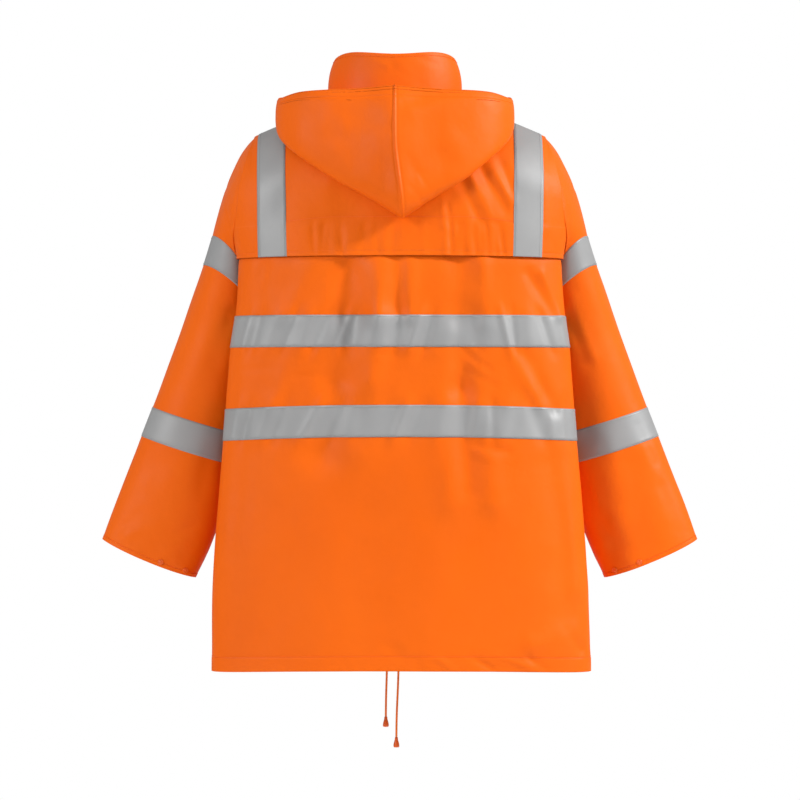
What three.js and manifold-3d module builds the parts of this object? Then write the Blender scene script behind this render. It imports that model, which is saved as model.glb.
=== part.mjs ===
// Hi-vis hooded work jacket, hollow, in the form it has when it is worn.
// Millimetres. +Z is up, +Y is the back of the garment, +X is the wearer's left.
// The origin is at shoulder height in the middle of the neck opening.
import * as THREE from 'three';
import Module from 'manifold-3d';
import { mergeVertices } from 'three/addons/utils/BufferGeometryUtils.js';

const wasm = await Module();
wasm.setup();

// Cloth
const CLOTH = 1.2; // wall of the shell cloth
const TAPE = 1.0; // wall of the reflective tape
const SEAM = 0.4; // space between two pieces at a seam
const TAPE_SEAM = 1.6; // the same where two tapes meet in the hollow of the side
const TAPE_LIFT = 0.6; // from a sleeve to its tape
const YOKE_SEAM = 3; // the same where the yoke ends over the armhole
const YOKE_LIFT = 0.75; // the yoke lies this far over the back panel
const TAPE_WIDTH = 50;

// Body: heights
const HEM_Z = -881;
const UNDERARM_Z = -242;
const TIP_Z = -40; // shoulder tip
const YOKE_SEAM_RISE = 54; // the back panel ends here, in degrees up the armhole
const YOKE_EDGE_RISE = 18; // free lower edge of the yoke, in degrees up the armhole
const CHEST_TAPE_TOP = -327.5;
const WAIST_TAPE_TOP = -467.5;

// Body: section
const WIDEST_Y = 45;
const BACK_ROUNDNESS = 2.3;
const FRONT_ROUNDNESS = 2.8;
const ARM_ROOM = 50; // depth over which the side gives way to the arm
// half is the half width at the back of the side, and ahead the one in front of it
const NORMAL_STEP = 2;
const SIDE_DROP = 7; // the level lines sag this much at the sides, low down
const BODY = [
  { z: -881, half: 299, ahead: 299, back: 128, front: -134 },
  { z: -780, half: 298, ahead: 298, back: 125, front: -131 },
  { z: -690, half: 294, ahead: 290, back: 123, front: -129 },
  { z: -600, half: 287, ahead: 273, back: 122, front: -128 },
  { z: -524, half: 281, ahead: 259, back: 122, front: -128 },
  { z: -440, half: 274, ahead: 241, back: 124, front: -129 },
  { z: -375, half: 268, ahead: 228, back: 127, front: -131 },
  { z: -320, half: 260, ahead: 220, back: 129, front: -132 },
  { z: -242, half: 256, ahead: 218, back: 130, front: -132 },
  { z: -200, half: 262, ahead: 226, back: 128, front: -132 },
  { z: -140, half: 268, ahead: 242, back: 122, front: -130 },
  { z: -98, half: 261, ahead: 256, back: 120, front: -128 },
  { z: -40, half: 245, ahead: 277, back: 118, front: -126 },
];

// Armhole: its depth at mid height, and where it starts and ends
const ARMHOLE = { topY: -5, lowY: -25, backY: 75, frontY: -78 };

// Neck
const NECK_HALF = 106;
const NECK_Y = -5;
const NECK_BACK = 77;
const NECK_FRONT = 83;
const NECK_Z = 8;
const NECK_DROP = 30; // the neckline is this much lower at the front
const NECK_X = 8; // the neck sits a little to the wearer's left
const CLOSURE_X = 11.5; // and so does the closure at the hem
const SHIFT_FADE = 86; // beyond the neck's side the shift fades out over this width

// Collar
const COLLAR_WALL = 2.4;
const COLLAR_TOP = 92;
const COLLAR_BACK_DIP = 6;
const COLLAR_FRONT_DROP = 40;
const COLLAR_TOP_HALF = 97;

// Closure
const ZIP_HALF = 3; // half of the chain's width
const ZIP_THICK = 3;
const PANEL_EDGE = 4.6; // from the closure line to a front's edge
const ZIP_TAPE_EDGE = 18;

// Sleeve rings: outer and inner end of each ring, seen from behind, then its place and reach in depth.
// bow lifts the middle of the ring, seen from the back and the front.
const RINGS = [
  { outX: 303, outZ: -197, inX: 240, inZ: -262, midY: -36, deep: 79, bow: 13 },
  { outX: 318, outZ: -243, inX: 235, inZ: -306, midY: -41, deep: 75, bow: 11 },
  { outX: 335, outZ: -292, inX: 235, inZ: -346, midY: -45, deep: 71, bow: 8 },
  { outX: 355, outZ: -349, inX: 240, inZ: -396, midY: -48, deep: 66, bow: 4 },
  { outX: 378, outZ: -412, inX: 254, inZ: -455, midY: -49, deep: 61, bow: 0 },
  { outX: 400, outZ: -471, inX: 268, inZ: -513, midY: -48, deep: 56, bow: -1 },
  { outX: 418, outZ: -518, inX: 277, inZ: -563, midY: -46, deep: 52, bow: -1 },
  { outX: 440, outZ: -575, inX: 285, inZ: -632, midY: -43, deep: 47, bow: -2 },
  { outX: 460, outZ: -627, inX: 304, inZ: -690, midY: -39, deep: 43, bow: -3 },
  { outX: 480, outZ: -684, inX: 330, inZ: -746, midY: -35, deep: 38, bow: -4 },
];
const SLEEVE_SEAM = 0.9; // from the armhole's edge to the sleeve, inwards and outwards
const CAP_STEPS = 4; // rings between the armhole and the first row above
const UPPER_TAPE_RING = 0;
const LOWER_TAPE_RING = 5;
const SLEEVE_ROUNDNESS = 2.15;
const AROUND = 20; // faces round a sleeve

// Hood, hanging as a pouch: stations from the centre back (90) round to the front, on polar lines
// from the middle of the neck. Reaches are from that middle.
const HOOD = [
  { turn: 90, inner: 139, outer: 170, lowZ: -180, edge: 150, edgeZ: 26 },
  { turn: 74, inner: 143, outer: 172, lowZ: -152, edge: 155, edgeZ: 25 },
  { turn: 57, inner: 163, outer: 186, lowZ: -123, edge: 171, edgeZ: 23 },
  { turn: 41, inner: 186, outer: 203, lowZ: -84, edge: 193, edgeZ: 19 },
  { turn: 26, inner: 194, outer: 206, lowZ: -48, edge: 201, edgeZ: 13 },
  { turn: 8, inner: 170, outer: 184, lowZ: -2, edge: 178, edgeZ: 21 },
  { turn: -18, inner: 146, outer: 156, lowZ: -14, edge: 148, edgeZ: 10 },
  { turn: -42, inner: 118, outer: 128, lowZ: -28, edge: 120, edgeZ: -4 },
  { turn: -64, inner: 99, outer: 108, lowZ: -34, edge: 101, edgeZ: -17 },
];
const HOOD_ROWS = 13;
const HOOD_COLUMNS = 14;
const NECK_CLEAR = 2.1; // from the collar to the middle of the hood's neck edge
const HOOD_CLEAR = 9; // from the body to the hood's inner wall

// Hem drawcord. Each route starts on the front's skin inside its eyelet. Columns: across to the
// wearer's left, out from the skin, down.
const CORD_DIAMETER = 3.5;
const EYELET = { outer: 4.4, inner: 2.5, thick: 1.6, spread: 9.5, z: -866 };
const CORDS = [
  { side: 'left', route: [
    [0, 0, 0], [0, 3.5, 0], [0, 7, 0.3], [0.1, 10.5, 2.1], [0.2, 12.8, 5.4], [0.3, 13.9, 9.8],
    [0.4, 14.1, 15], [0.5, 13.7, 22], [0.6, 13.1, 31], [0.8, 12.6, 42], [1.1, 12.5, 54], [1.5, 12.7, 67],
    [1.9, 13, 80], [2.2, 13.2, 93], [2.4, 13.2, 106], [2.5, 13.1, 119],
  ] },
  { side: 'right', route: [
    [0, 0, 0], [0, 3.5, 0], [0, 7, 0.3], [0.1, 10.4, 2.2], [0.2, 12.6, 5.6], [0.3, 13.6, 10],
    [0.4, 13.7, 15.2], [0.5, 13.2, 23], [0.5, 12.5, 34], [0.7, 12, 48], [1.2, 11.8, 64], [1.9, 12, 81],
    [2.7, 12.3, 99], [3.4, 12.5, 117], [3.8, 12.5, 135], [4, 12.4, 153],
  ] },
];
const CORD_STEPS = 32;
const CORD_END = { length: 17, top: 2.6, bottom: 5 };
const CLEAR = 0.3; // between small pieces that meet

// Small metal and plastic pieces
const STUD = { radius: 4.5, thick: 1.8, lift: 1.1 };
const STUD_TURNS = [103, 138]; // degrees round the sleeve from its outer end
const STUD_RING = 8.877;
const STOP = { width: 8.4, thick: 4, height: 9.4 };
const SLIDER = { width: 9, length: 14, thick: 2.2, z: 40 };
const ARCH = { width: 2.4, eye: 2, wall: 1.1, foot: 5 };
const PULL = { width: 8, length: 32, thick: 1.6, bar: 1.5, slotWidth: 3.6, slot: 4.2, drop: 0.6 };

const radians = THREE.MathUtils.degToRad;
const mix = THREE.MathUtils.lerp;
const smooth = (t) => THREE.MathUtils.smoothstep(t, 0, 1);
const power = (value, exponent) => Math.sign(value) * Math.abs(value) ** exponent;
const spread = (count, from, to) => Array.from({ length: count + 1 }, (_, i) => mix(from, to, i / count));

// One value of a table's column at a place along it, on a smooth curve through the rows.
function along(rows, column, t) {
  const last = rows.length - 1;
  const i = Math.min(Math.max(Math.floor(t), 0), last - 1);
  const u = t - i;
  const value = (k) => rows[Math.min(Math.max(k, 0), last)][column];
  const before = i > 0 ? value(i - 1) : 2 * value(0) - value(1);
  const after = i + 2 <= last ? value(i + 2) : 2 * value(last) - value(last - 1);
  const [a, b] = [value(i), value(i + 1)];
  return 0.5 * (2 * a + (b - before) * u + (2 * before - 5 * a + 4 * b - after) * u ** 2
    + (3 * a - before - 3 * b + after) * u ** 3);
}

// The same for the body table, by height.
function bodyValue(column, z) {
  let i = 0;
  while (i < BODY.length - 2 && z > BODY[i + 1].z) i += 1;
  const t = (z - BODY[i].z) / (BODY[i + 1].z - BODY[i].z);
  return along(BODY, column, i + THREE.MathUtils.clamp(t, 0, 1));
}

// How far up the armhole a nominal height is, from 0 to 1.
const armholeShare = (level) => Math.max(0, (level - UNDERARM_Z) / (TIP_Z - UNDERARM_Z));
const riseLevel = (degrees) => mix(UNDERARM_Z, TIP_Z, (1 - Math.cos(radians(degrees))) / 2);

// The line where back and fronts meet the neck and the shoulder seam.
function topLine(x, isBack) {
  const u = Math.abs(x) / NECK_HALF;
  if (u >= 1) {
    const t = (Math.abs(x) - NECK_HALF) / (bodyValue('half', TIP_Z) - NECK_HALF);
    return { y: ARMHOLE.topY, z: mix(NECK_Z, TIP_Z, Math.min(1, t * 1.1) ** 1.15) };
  }
  const round = Math.sqrt(1 - u * u);
  return isBack
    ? { y: NECK_Y + NECK_BACK * round, z: NECK_Z }
    : { y: NECK_Y - NECK_FRONT * round, z: NECK_Z - NECK_DROP * round ** 1.6 };
}

// A point of the body's outer skin. turn runs in radians from the centre back to the centre front
// over the wearer's left side, and level is the height at the armhole's edge.
function bodyPoint(turn, level) {
  const s = Math.sin(turn);
  const c = Math.cos(turn);
  const isBack = c >= 0;
  const exponent = 2 / (isBack ? BACK_ROUNDNESS : FRONT_ROUNDNESS);
  const reach = bodyValue(isBack ? 'back' : 'front', level);
  let y = WIDEST_Y + (reach - WIDEST_Y) * Math.abs(c) ** exponent;
  const lean = smooth((WIDEST_Y - y) / ARM_ROOM);
  let x = mix(bodyValue('half', level), bodyValue('ahead', level), lean) * power(s, exponent);
  const share = armholeShare(level);
  let z = level - SIDE_DROP * s * s * smooth((CHEST_TAPE_TOP - TAPE_WIDTH - level) / 100);
  if (share > 0) {
    const top = topLine(x, isBack);
    z = mix(UNDERARM_Z, top.z, share);
    const bend = Math.max(0, 2 * share - 1);
    const fall = mix(0.8, 0.5, smooth(Math.abs(x) / NECK_HALF / 2));
    y = top.y + (y - top.y) * Math.max(0, 1 - bend * bend) ** fall;
  }
  const shift = isBack ? NECK_X * smooth(share) : mix(CLOSURE_X, NECK_X, share);
  x += shift * (1 - smooth((Math.abs(x) - NECK_HALF) / SHIFT_FADE));
  return new THREE.Vector3(x, y, z);
}

// The outward normal of the body's skin, from its slopes round the body and up it.
function bodyNormal(turn, level) {
  const place = Math.min(level, TIP_Z - NORMAL_STEP);
  const around = bodyPoint(turn - 0.01, place).sub(bodyPoint(turn + 0.01, place));
  const up = bodyPoint(turn, place + NORMAL_STEP).sub(bodyPoint(turn, place - NORMAL_STEP));
  return around.cross(up).normalize();
}

// The turn at which the section has a given depth.
function turnAtDepth(y, level) {
  if (y >= WIDEST_Y) {
    const c = (y - WIDEST_Y) / (bodyValue('back', level) - WIDEST_Y);
    return Math.acos(c ** (BACK_ROUNDNESS / 2));
  }
  const c = (WIDEST_Y - y) / (WIDEST_Y - bodyValue('front', level));
  return Math.PI - Math.acos(c ** (FRONT_ROUNDNESS / 2));
}

// The turn of the back's or a front's outer edge: side seam below, armhole above.
function edgeTurn(isBack, level) {
  const share = armholeShare(level);
  if (share <= 0) {
    return turnAtDepth(mix(ARMHOLE.lowY, 0, smooth((UNDERARM_Z - level) / 60)), level);
  }
  const around = Math.sqrt(Math.max(0, 1 - (2 * share - 1) ** 2));
  const far = isBack ? ARMHOLE.backY : ARMHOLE.frontY;
  return turnAtDepth(share < 0.5 ? mix(ARMHOLE.lowY, far, around) : far, level);
}

// The turn of a point at a given distance from the centre line, for what lies in line with it.
function turnAtX(x, level, isBack) {
  const exponent = (isBack ? BACK_ROUNDNESS : FRONT_ROUNDNESS) / 2;
  const half = bodyValue(isBack ? 'half' : 'ahead', level);
  const angle = Math.asin(Math.min(1, (Math.abs(x) / half) ** exponent)) * Math.sign(x);
  return isBack ? angle : Math.PI - angle;
}

// Columns across half a panel, from the centre to the edge. At the shoulder one column meets the
// neck's corner.
function columnTurns(count, neckColumns, isBack, level, inner, gap) {
  const trim = gap / 2 / bodyValue('half', level);
  const edge = edgeTurn(isBack, level) + (isBack ? -trim : trim);
  const start = isBack ? inner : Math.PI - inner;
  const share = armholeShare(level);
  const corner = turnAtX(NECK_HALF, TIP_Z, isBack);
  return spread(count, 0, 1).map((t, i) => {
    const even = mix(start, edge, t);
    if (share === 0) return even;
    const aligned = i <= neckColumns
      ? mix(start, corner, i / neckColumns)
      : mix(corner, edge, (i - neckColumns) / (count - neckColumns));
    return mix(even, aligned, share);
  });
}

// Vertex normals of a grid of points. A closed grid joins its last column to its first.
function gridNormals(grid, closed) {
  const rows = grid.length;
  const columns = grid[0].length;
  return grid.map((row, i) => row.map((_, j) => {
    const up = grid[Math.min(i + 1, rows - 1)][j];
    const down = grid[Math.max(i - 1, 0)][j];
    const next = closed ? row[(j + 1) % columns] : row[Math.min(j + 1, columns - 1)];
    const last = closed ? row[(j + columns - 1) % columns] : row[Math.max(j - 1, 0)];
    const across = next.clone().sub(last);
    return across.cross(up.clone().sub(down)).normalize();
  }));
}

// A closed wall on a grid of points, between two distances along its normals.
function wall(grid, low, high, closed = false, normals = gridNormals(grid, closed)) {
  const rows = grid.length;
  const columns = grid[0].length;
  const positions = [];
  for (const reach of [high, low]) {
    grid.forEach((row, i) => row.forEach((point, j) => {
      positions.push(...point.clone().addScaledVector(normals[i][j], reach).toArray());
    }));
  }
  const index = [];
  const at = (layer, i, j) => layer * rows * columns + i * columns + (j % columns);
  // The diagonals lean the other way on the wearer's right, so that the two sides are alike.
  const quad = (a, b, c, d) => {
    if (positions[3 * a] < 0) index.push(a, b, d, b, c, d);
    else index.push(a, b, c, a, c, d);
  };
  const lastColumn = closed ? columns : columns - 1;
  for (let i = 0; i < rows - 1; i += 1) {
    for (let j = 0; j < lastColumn; j += 1) {
      quad(at(0, i, j), at(0, i, j + 1), at(0, i + 1, j + 1), at(0, i + 1, j));
      quad(at(1, i, j), at(1, i + 1, j), at(1, i + 1, j + 1), at(1, i, j + 1));
    }
  }
  for (let j = 0; j < lastColumn; j += 1) {
    quad(at(0, 0, j), at(1, 0, j), at(1, 0, j + 1), at(0, 0, j + 1));
    const top = rows - 1;
    quad(at(0, top, j), at(0, top, j + 1), at(1, top, j + 1), at(1, top, j));
  }
  if (!closed) {
    const side = columns - 1;
    for (let i = 0; i < rows - 1; i += 1) {
      quad(at(0, i, 0), at(0, i + 1, 0), at(1, i + 1, 0), at(1, i, 0));
      quad(at(0, i, side), at(1, i, side), at(1, i + 1, side), at(0, i + 1, side));
    }
  }
  const geometry = new THREE.BufferGeometry();
  geometry.setAttribute('position', new THREE.Float32BufferAttribute(positions, 3));
  geometry.setIndex(index);
  return geometry;
}

// The same wall on the other side of the centre plane x = middle.
function mirrored(geometry, middle = 0) {
  const copy = geometry.clone();
  const position = copy.attributes.position;
  for (let i = 0; i < position.count; i += 1) position.setX(i, 2 * middle - position.getX(i));
  const index = copy.index.array;
  for (let i = 0; i < index.length; i += 3) [index[i], index[i + 1]] = [index[i + 1], index[i]];
  return copy;
}

const finish = {
  orange: new THREE.MeshStandardMaterial({ color: 0xfb6a0c, roughness: 0.55, metalness: 0 }),
  tape: new THREE.MeshStandardMaterial({ color: 0xb4b4b4, roughness: 0.4, metalness: 0 }),
  plastic: new THREE.MeshStandardMaterial({ color: 0xf56a10, roughness: 0.45, metalness: 0 }),
  metal: new THREE.MeshStandardMaterial({ color: 0x9a9a98, roughness: 0.35, metalness: 1 }),
};
const jacket = new THREE.Group();

function add(name, geometry, material) {
  geometry.deleteAttribute('uv');
  const mesh = new THREE.Mesh(geometry, material.clone());
  mesh.name = name;
  jacket.add(mesh);
  return mesh;
}

// Body levels
const LOWER_LEVELS = [
  HEM_Z, HEM_Z + 17, -790, -700, -610, WAIST_TAPE_TOP - TAPE_WIDTH, WAIST_TAPE_TOP, -422,
  CHEST_TAPE_TOP - TAPE_WIDTH, CHEST_TAPE_TOP, -286,
];
const RISE_STEP = 360 / AROUND; // the sleeve's first ring has a point at each of these rows
const rises = (from, to) => spread(Math.round((to - from) / RISE_STEP), from, to);
const riseLevels = (from, to) => rises(from, to).map(riseLevel);
const BACK_HALF_COLUMNS = 11;
const BACK_NECK_COLUMNS = 5;
const FRONT_COLUMNS = 9;
const FRONT_NECK_COLUMNS = 4;

// A patch of the body's skin: its points and their outward normals, from rows of turns and levels.
function patch(cells) {
  return {
    grid: cells.map((row) => row.map(({ turn, level }) => bodyPoint(turn, level))),
    normals: cells.map((row) => row.map(({ turn, level }) => bodyNormal(turn, level))),
  };
}

// A row across the whole back, from the wearer's left to the right.
function backRow(level, gap = SEAM) {
  const turns = columnTurns(BACK_HALF_COLUMNS, BACK_NECK_COLUMNS, true, level, 0, gap);
  const right = turns.slice(1).map((turn) => -turn);
  return [...turns.reverse(), ...right].map((turn) => ({ turn, level }));
}

// A row across one front, from the closure to the side seam or armhole.
function frontRow(level, side, gap = SEAM) {
  const half = bodyValue('ahead', level);
  const inner = Math.asin((PANEL_EDGE / half) ** (FRONT_ROUNDNESS / 2));
  const turns = columnTurns(FRONT_COLUMNS, FRONT_NECK_COLUMNS, false, level, inner, gap);
  const cells = turns.map((turn) => ({ turn: turn * side, level }));
  return side > 0 ? cells : cells.reverse();
}

// Lower a grid's top edge by half a seam, so that neighbours stay apart.
function trimTop(grid) {
  const top = grid.length - 1;
  grid[top].forEach((point, j) => {
    point.addScaledVector(grid[top - 1][j].clone().sub(point).normalize(), SEAM / 2);
  });
}

function buildBody() {
  const under = riseLevels(YOKE_EDGE_RISE, YOKE_SEAM_RISE); // rows of the back panel the yoke covers
  const back = patch([
    ...[...LOWER_LEVELS, riseLevel(0)].map((level) => backRow(level)),
    ...under.map((level) => backRow(level, YOKE_SEAM)),
  ]);
  add('back_panel', wall(back.grid, -CLOTH, 0, false, back.normals), finish.orange);
  const yoke = patch(riseLevels(YOKE_EDGE_RISE, 180).map((level) => backRow(level, YOKE_SEAM)));
  trimTop(yoke.grid);
  add('back_yoke', wall(yoke.grid, YOKE_LIFT, YOKE_LIFT + CLOTH, false, yoke.normals), finish.orange);
  for (const [name, side] of [['left', 1], ['right', -1]]) {
    const levels = [...LOWER_LEVELS, ...riseLevels(0, 180)];
    const front = patch(levels.map((level) => frontRow(level, side)));
    trimTop(front.grid);
    add(`front_${name}`, wall(front.grid, -CLOTH, 0, false, front.normals), finish.orange);
  }
}

// Horizontal tapes, on the body's own rows and columns.
function buildBands() {
  for (const [name, top] of [['chest', CHEST_TAPE_TOP], ['waist', WAIST_TAPE_TOP]]) {
    const levels = [top - TAPE_WIDTH, top];
    const back = patch(levels.map((level) => backRow(level, TAPE_SEAM)));
    add(`${name}_tape_back`, wall(back.grid, SEAM, SEAM + TAPE, false, back.normals), finish.tape);
    for (const [sideName, side] of [['left', 1], ['right', -1]]) {
      const front = patch(levels.map((level) => frontRow(level, side, TAPE_SEAM)));
      const tape = wall(front.grid, SEAM, SEAM + TAPE, false, front.normals);
      add(`${name}_tape_front_${sideName}`, tape, finish.tape);
    }
  }
}

// Shoulder tape: up the yoke from its free edge, over the shoulder seam and down to the chest tape.
const SHOULDER_TAPE = { half: 22.5, backLow: 197, top: 203, frontMid: 172, frontLow: 163, lift: 0.8 };

function buildShoulderTapes() {
  const back = rises(YOKE_EDGE_RISE, 180).map((rise) => ({
    level: riseLevel(rise), isBack: true, x: mix(SHOULDER_TAPE.backLow, SHOULDER_TAPE.top, rise / 180),
  }));
  const front = rises(0, 180 - RISE_STEP).reverse().map((rise) => ({
    level: riseLevel(rise), isBack: false,
    x: mix(SHOULDER_TAPE.frontMid, SHOULDER_TAPE.top, smooth((rise - 60) / 120)),
  }));
  const low = [-286, CHEST_TAPE_TOP + SEAM].map((level) => (
    { level, isBack: false, x: SHOULDER_TAPE.frontLow }));
  const lift = YOKE_LIFT + CLOTH + SHOULDER_TAPE.lift;
  for (const [name, side] of [['left', 1], ['right', -1]]) {
    const cells = [...back, ...front, ...low].map(({ level, isBack, x }) => [1, 0, -1].map((step) => (
      { turn: turnAtX(x + step * side * SHOULDER_TAPE.half, level, isBack) * side, level })));
    const tape = patch(cells);
    tape.normals[back.length - 1].forEach((normal) => normal.set(0, 0, 1));
    add(`shoulder_tape_${name}`, wall(tape.grid, lift, lift + TAPE, false, tape.normals), finish.tape);
  }
}

// The armhole's loop at an angle round the sleeve, in radians: 0 at the shoulder tip, a quarter at
// the back, half at the underarm.
function armholePoint(angle) {
  const isBack = Math.sin(angle) >= 0;
  const level = mix(UNDERARM_Z, TIP_Z, (1 + Math.cos(angle)) / 2);
  return bodyPoint(edgeTurn(isBack, level), level);
}

// A point of the left sleeve's outer skin. ring is the place along it: 0 is the first row of the
// table, and the cap before it runs from -1 at the armhole.
function sleevePoint(angle, ring) {
  const exponent = 2 / SLEEVE_ROUNDNESS;
  const row = Math.max(ring, 0);
  const value = (column) => along(RINGS, column, row);
  const c = power(Math.cos(angle), exponent);
  const s = power(Math.sin(angle), exponent);
  const x = mix(value('inX'), value('outX'), (1 + c) / 2);
  const z = mix(value('inZ'), value('outZ'), (1 + c) / 2) + value('bow') * s * s;
  const point = new THREE.Vector3(x, value('midY') + value('deep') * s, z);
  if (ring >= 0) return point;
  const middle = new THREE.Vector3(240, (ARMHOLE.backY + ARMHOLE.frontY) / 2, (TIP_Z + UNDERARM_Z) / 2);
  const lowBack = Math.max(0, Math.sin(angle)) ** 0.5 * Math.max(0, -Math.cos(angle));
  const start = armholePoint(angle);
  start.addScaledVector(middle.clone().sub(start).setX(0).normalize(), SLEEVE_SEAM);
  start.x += SLEEVE_SEAM * (1 + 1.8 * Math.max(0, -Math.cos(angle)) + 7 * lowBack);
  const up = Math.max(0, Math.cos(angle)) ** 1.5;
  const bulge = new THREE.Vector3(6 + 12 * lowBack, 11 * Math.sin(angle), 6 + 42 * up);
  const control = start.clone().add(point).multiplyScalar(0.5).add(bulge);
  const t = ring + 1;
  return start.multiplyScalar((1 - t) ** 2)
    .addScaledVector(control, 2 * t * (1 - t))
    .addScaledVector(point, t * t);
}

// The outward normal of the sleeve's skin, from its slopes round the sleeve and along it.
function sleeveNormal(angle, ring) {
  const step = 0.2;
  const around = sleevePoint(angle + step, ring).sub(sleevePoint(angle - step, ring));
  const last = RINGS.length - 1;
  const down = sleevePoint(angle, Math.min(ring + step, last)).sub(sleevePoint(angle, Math.max(ring - step, -1)));
  return around.cross(down).normalize();
}

function buildSleeves() {
  const cap = spread(CAP_STEPS, -1, 0).slice(0, -1);
  const rings = [...cap, 0, 0.5, 1, 2, 3, 4, 5, 5.5, 6, 7, 8, 8.75, 9];
  const angles = spread(AROUND, 0, 2 * Math.PI).slice(0, -1);
  const grid = rings.map((ring) => angles.map((angle) => sleevePoint(angle, ring)));
  const normals = rings.map((ring) => angles.map((angle) => sleeveNormal(angle, ring)));
  const cloth = wall(grid, -CLOTH, 0, true, normals);
  add('sleeve_left', cloth, finish.orange);
  add('sleeve_right', mirrored(cloth), finish.orange);
  for (const [name, ring] of [['upper', UPPER_TAPE_RING], ['lower', LOWER_TAPE_RING]]) {
    const first = rings.indexOf(ring);
    const rows = [first, first + 3];
    const tape = wall(grid.slice(...rows), TAPE_LIFT, TAPE_LIFT + TAPE, true, normals.slice(...rows));
    add(`sleeve_tape_${name}_left`, tape, finish.tape);
    add(`sleeve_tape_${name}_right`, mirrored(tape), finish.tape);
  }
}

// Collar: turn in radians, 0 at the wearer's left, a quarter at the back. rise runs from 0 to 1.
function collarPoint(turn, rise) {
  const s = Math.sin(turn);
  const half = NECK_HALF + 2 * Math.sin(Math.PI * rise) - (NECK_HALF - COLLAR_TOP_HALF) * rise ** 3;
  const deep = s > 0 ? NECK_BACK - 6 * rise ** 2 : NECK_FRONT - 3 * rise ** 2;
  const ahead = Math.max(0, -s);
  const behind = Math.max(0, s);
  const low = NECK_Z - NECK_DROP * ahead ** 1.6 + mix(0.9, 2.6, smooth(s + 0.8));
  const high = COLLAR_TOP - COLLAR_BACK_DIP * behind ** 6 - COLLAR_FRONT_DROP * ahead ** 1.5;
  return new THREE.Vector3(NECK_X + half * Math.cos(turn), NECK_Y + deep * s, mix(low, high, rise));
}

function buildCollar() {
  const gap = PANEL_EDGE / NECK_HALF;
  const turns = spread(26, -Math.PI / 2 + gap, 1.5 * Math.PI - gap);
  const rows = spread(5, 0, 1).map((rise) => turns.map((turn) => collarPoint(turn, rise)));
  add('collar', wall(rows, -COLLAR_WALL, 0), finish.orange);
}

// The back's depth at a place seen from behind, and the fronts' depth seen from the front.
function skinDepth(x, z, isBack) {
  const top = topLine(x, isBack);
  const share = z > UNDERARM_Z ? Math.min(1, (z - UNDERARM_Z) / (top.z - UNDERARM_Z)) : 0;
  const level = share > 0 ? mix(UNDERARM_Z, TIP_Z, share) : z;
  return bodyPoint(turnAtX(x, level, isBack), level).y;
}

// One line of the left half of the hood from the neck seam, down the inner wall, round the fold and
// up the outer wall to the opening's edge.
function hoodLine(place) {
  const value = (column) => along(HOOD, column, place);
  const turn = radians(value('turn'));
  const neck = collarPoint(turn, 0.04);
  const neckReach = Math.hypot(neck.x - NECK_X, neck.y - NECK_Y) + NECK_CLEAR;
  const [inner, outer] = [value('inner'), value('outer')];
  const [lowZ, edge, edgeZ] = [value('lowZ'), value('edge'), value('edgeZ')];
  const neckZ = neck.z + 2;
  const fold = (outer - inner) * 0.35;
  const points = [
    [neckReach, neckZ],
    [mix(neckReach, inner, 0.6), mix(neckZ, lowZ, 0.06) + 1],
    [inner, mix(neckZ, lowZ, 0.45)],
    [mix(inner, outer, 0.12), lowZ + fold],
    [mix(inner, outer, 0.5), lowZ],
    [mix(inner, outer, 0.88), lowZ + fold],
    [outer, mix(edgeZ, lowZ, 0.45)],
    [mix(outer, edge, 0.45), mix(edgeZ, lowZ, 0.12)],
    [edge, edgeZ],
  ].map(([reach, z]) => (
    new THREE.Vector3(NECK_X + reach * Math.cos(turn), NECK_Y + reach * Math.sin(turn), z)));
  const curve = new THREE.CatmullRomCurve3(points, false, 'centripetal');
  const line = curve.getSpacedPoints(HOOD_ROWS);
  line.forEach((point) => {
    const isBack = point.y > NECK_Y;
    const x = point.x - NECK_X;
    if (point.z > topLine(x, isBack).z + HOOD_CLEAR) return;
    const skin = skinDepth(x, point.z, isBack);
    point.y = isBack ? Math.max(point.y, skin + HOOD_CLEAR) : Math.min(point.y, skin - HOOD_CLEAR);
  });
  return line;
}

function buildHood() {
  const lines = spread(HOOD_COLUMNS, 0, HOOD.length - 1).map(hoodLine);
  lines[0].forEach((point) => point.setX(NECK_X + SEAM / 2));
  const left = wall(lines, 0, CLOTH);
  add('hood_left', left, finish.orange);
  add('hood_right', mirrored(left, NECK_X), finish.orange);
}

// The closure line: its point at a height, on the fronts and then on the collar.
const NECK_FRONT_Z = NECK_Z - NECK_DROP;
const COLLAR_FRONT_TOP = COLLAR_TOP - COLLAR_FRONT_DROP;

function closurePoint(z, reach = 0) {
  if (z > NECK_FRONT_Z) {
    const rise = (z - NECK_FRONT_Z) / (COLLAR_FRONT_TOP - NECK_FRONT_Z);
    const point = collarPoint(-Math.PI / 2 + reach / NECK_HALF, rise);
    return point.setZ(z);
  }
  const share = z > UNDERARM_Z ? (z - UNDERARM_Z) / (NECK_FRONT_Z - UNDERARM_Z) : 0;
  const level = share > 0 ? mix(UNDERARM_Z, TIP_Z, share) : z;
  return bodyPoint(turnAtX(reach, level, false), level);
}

// A strip along the closure between two distances from its line. Where the collar rises from the
// fronts the strip turns a corner, and its wall keeps its distance there by reaching further.
const CORNER_REACH = 1.5;

function closureStrip(heights, from, to, low, high) {
  const rows = heights.map((z) => [from, to].map((reach) => closurePoint(z, reach)));
  const normals = gridNormals(rows, false);
  const corner = heights.findIndex((z) => z > NECK_FRONT_Z);
  for (const row of [corner - 1, corner]) normals[row].forEach((normal) => normal.multiplyScalar(CORNER_REACH));
  return wall(rows, low, high, false, normals);
}

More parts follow.
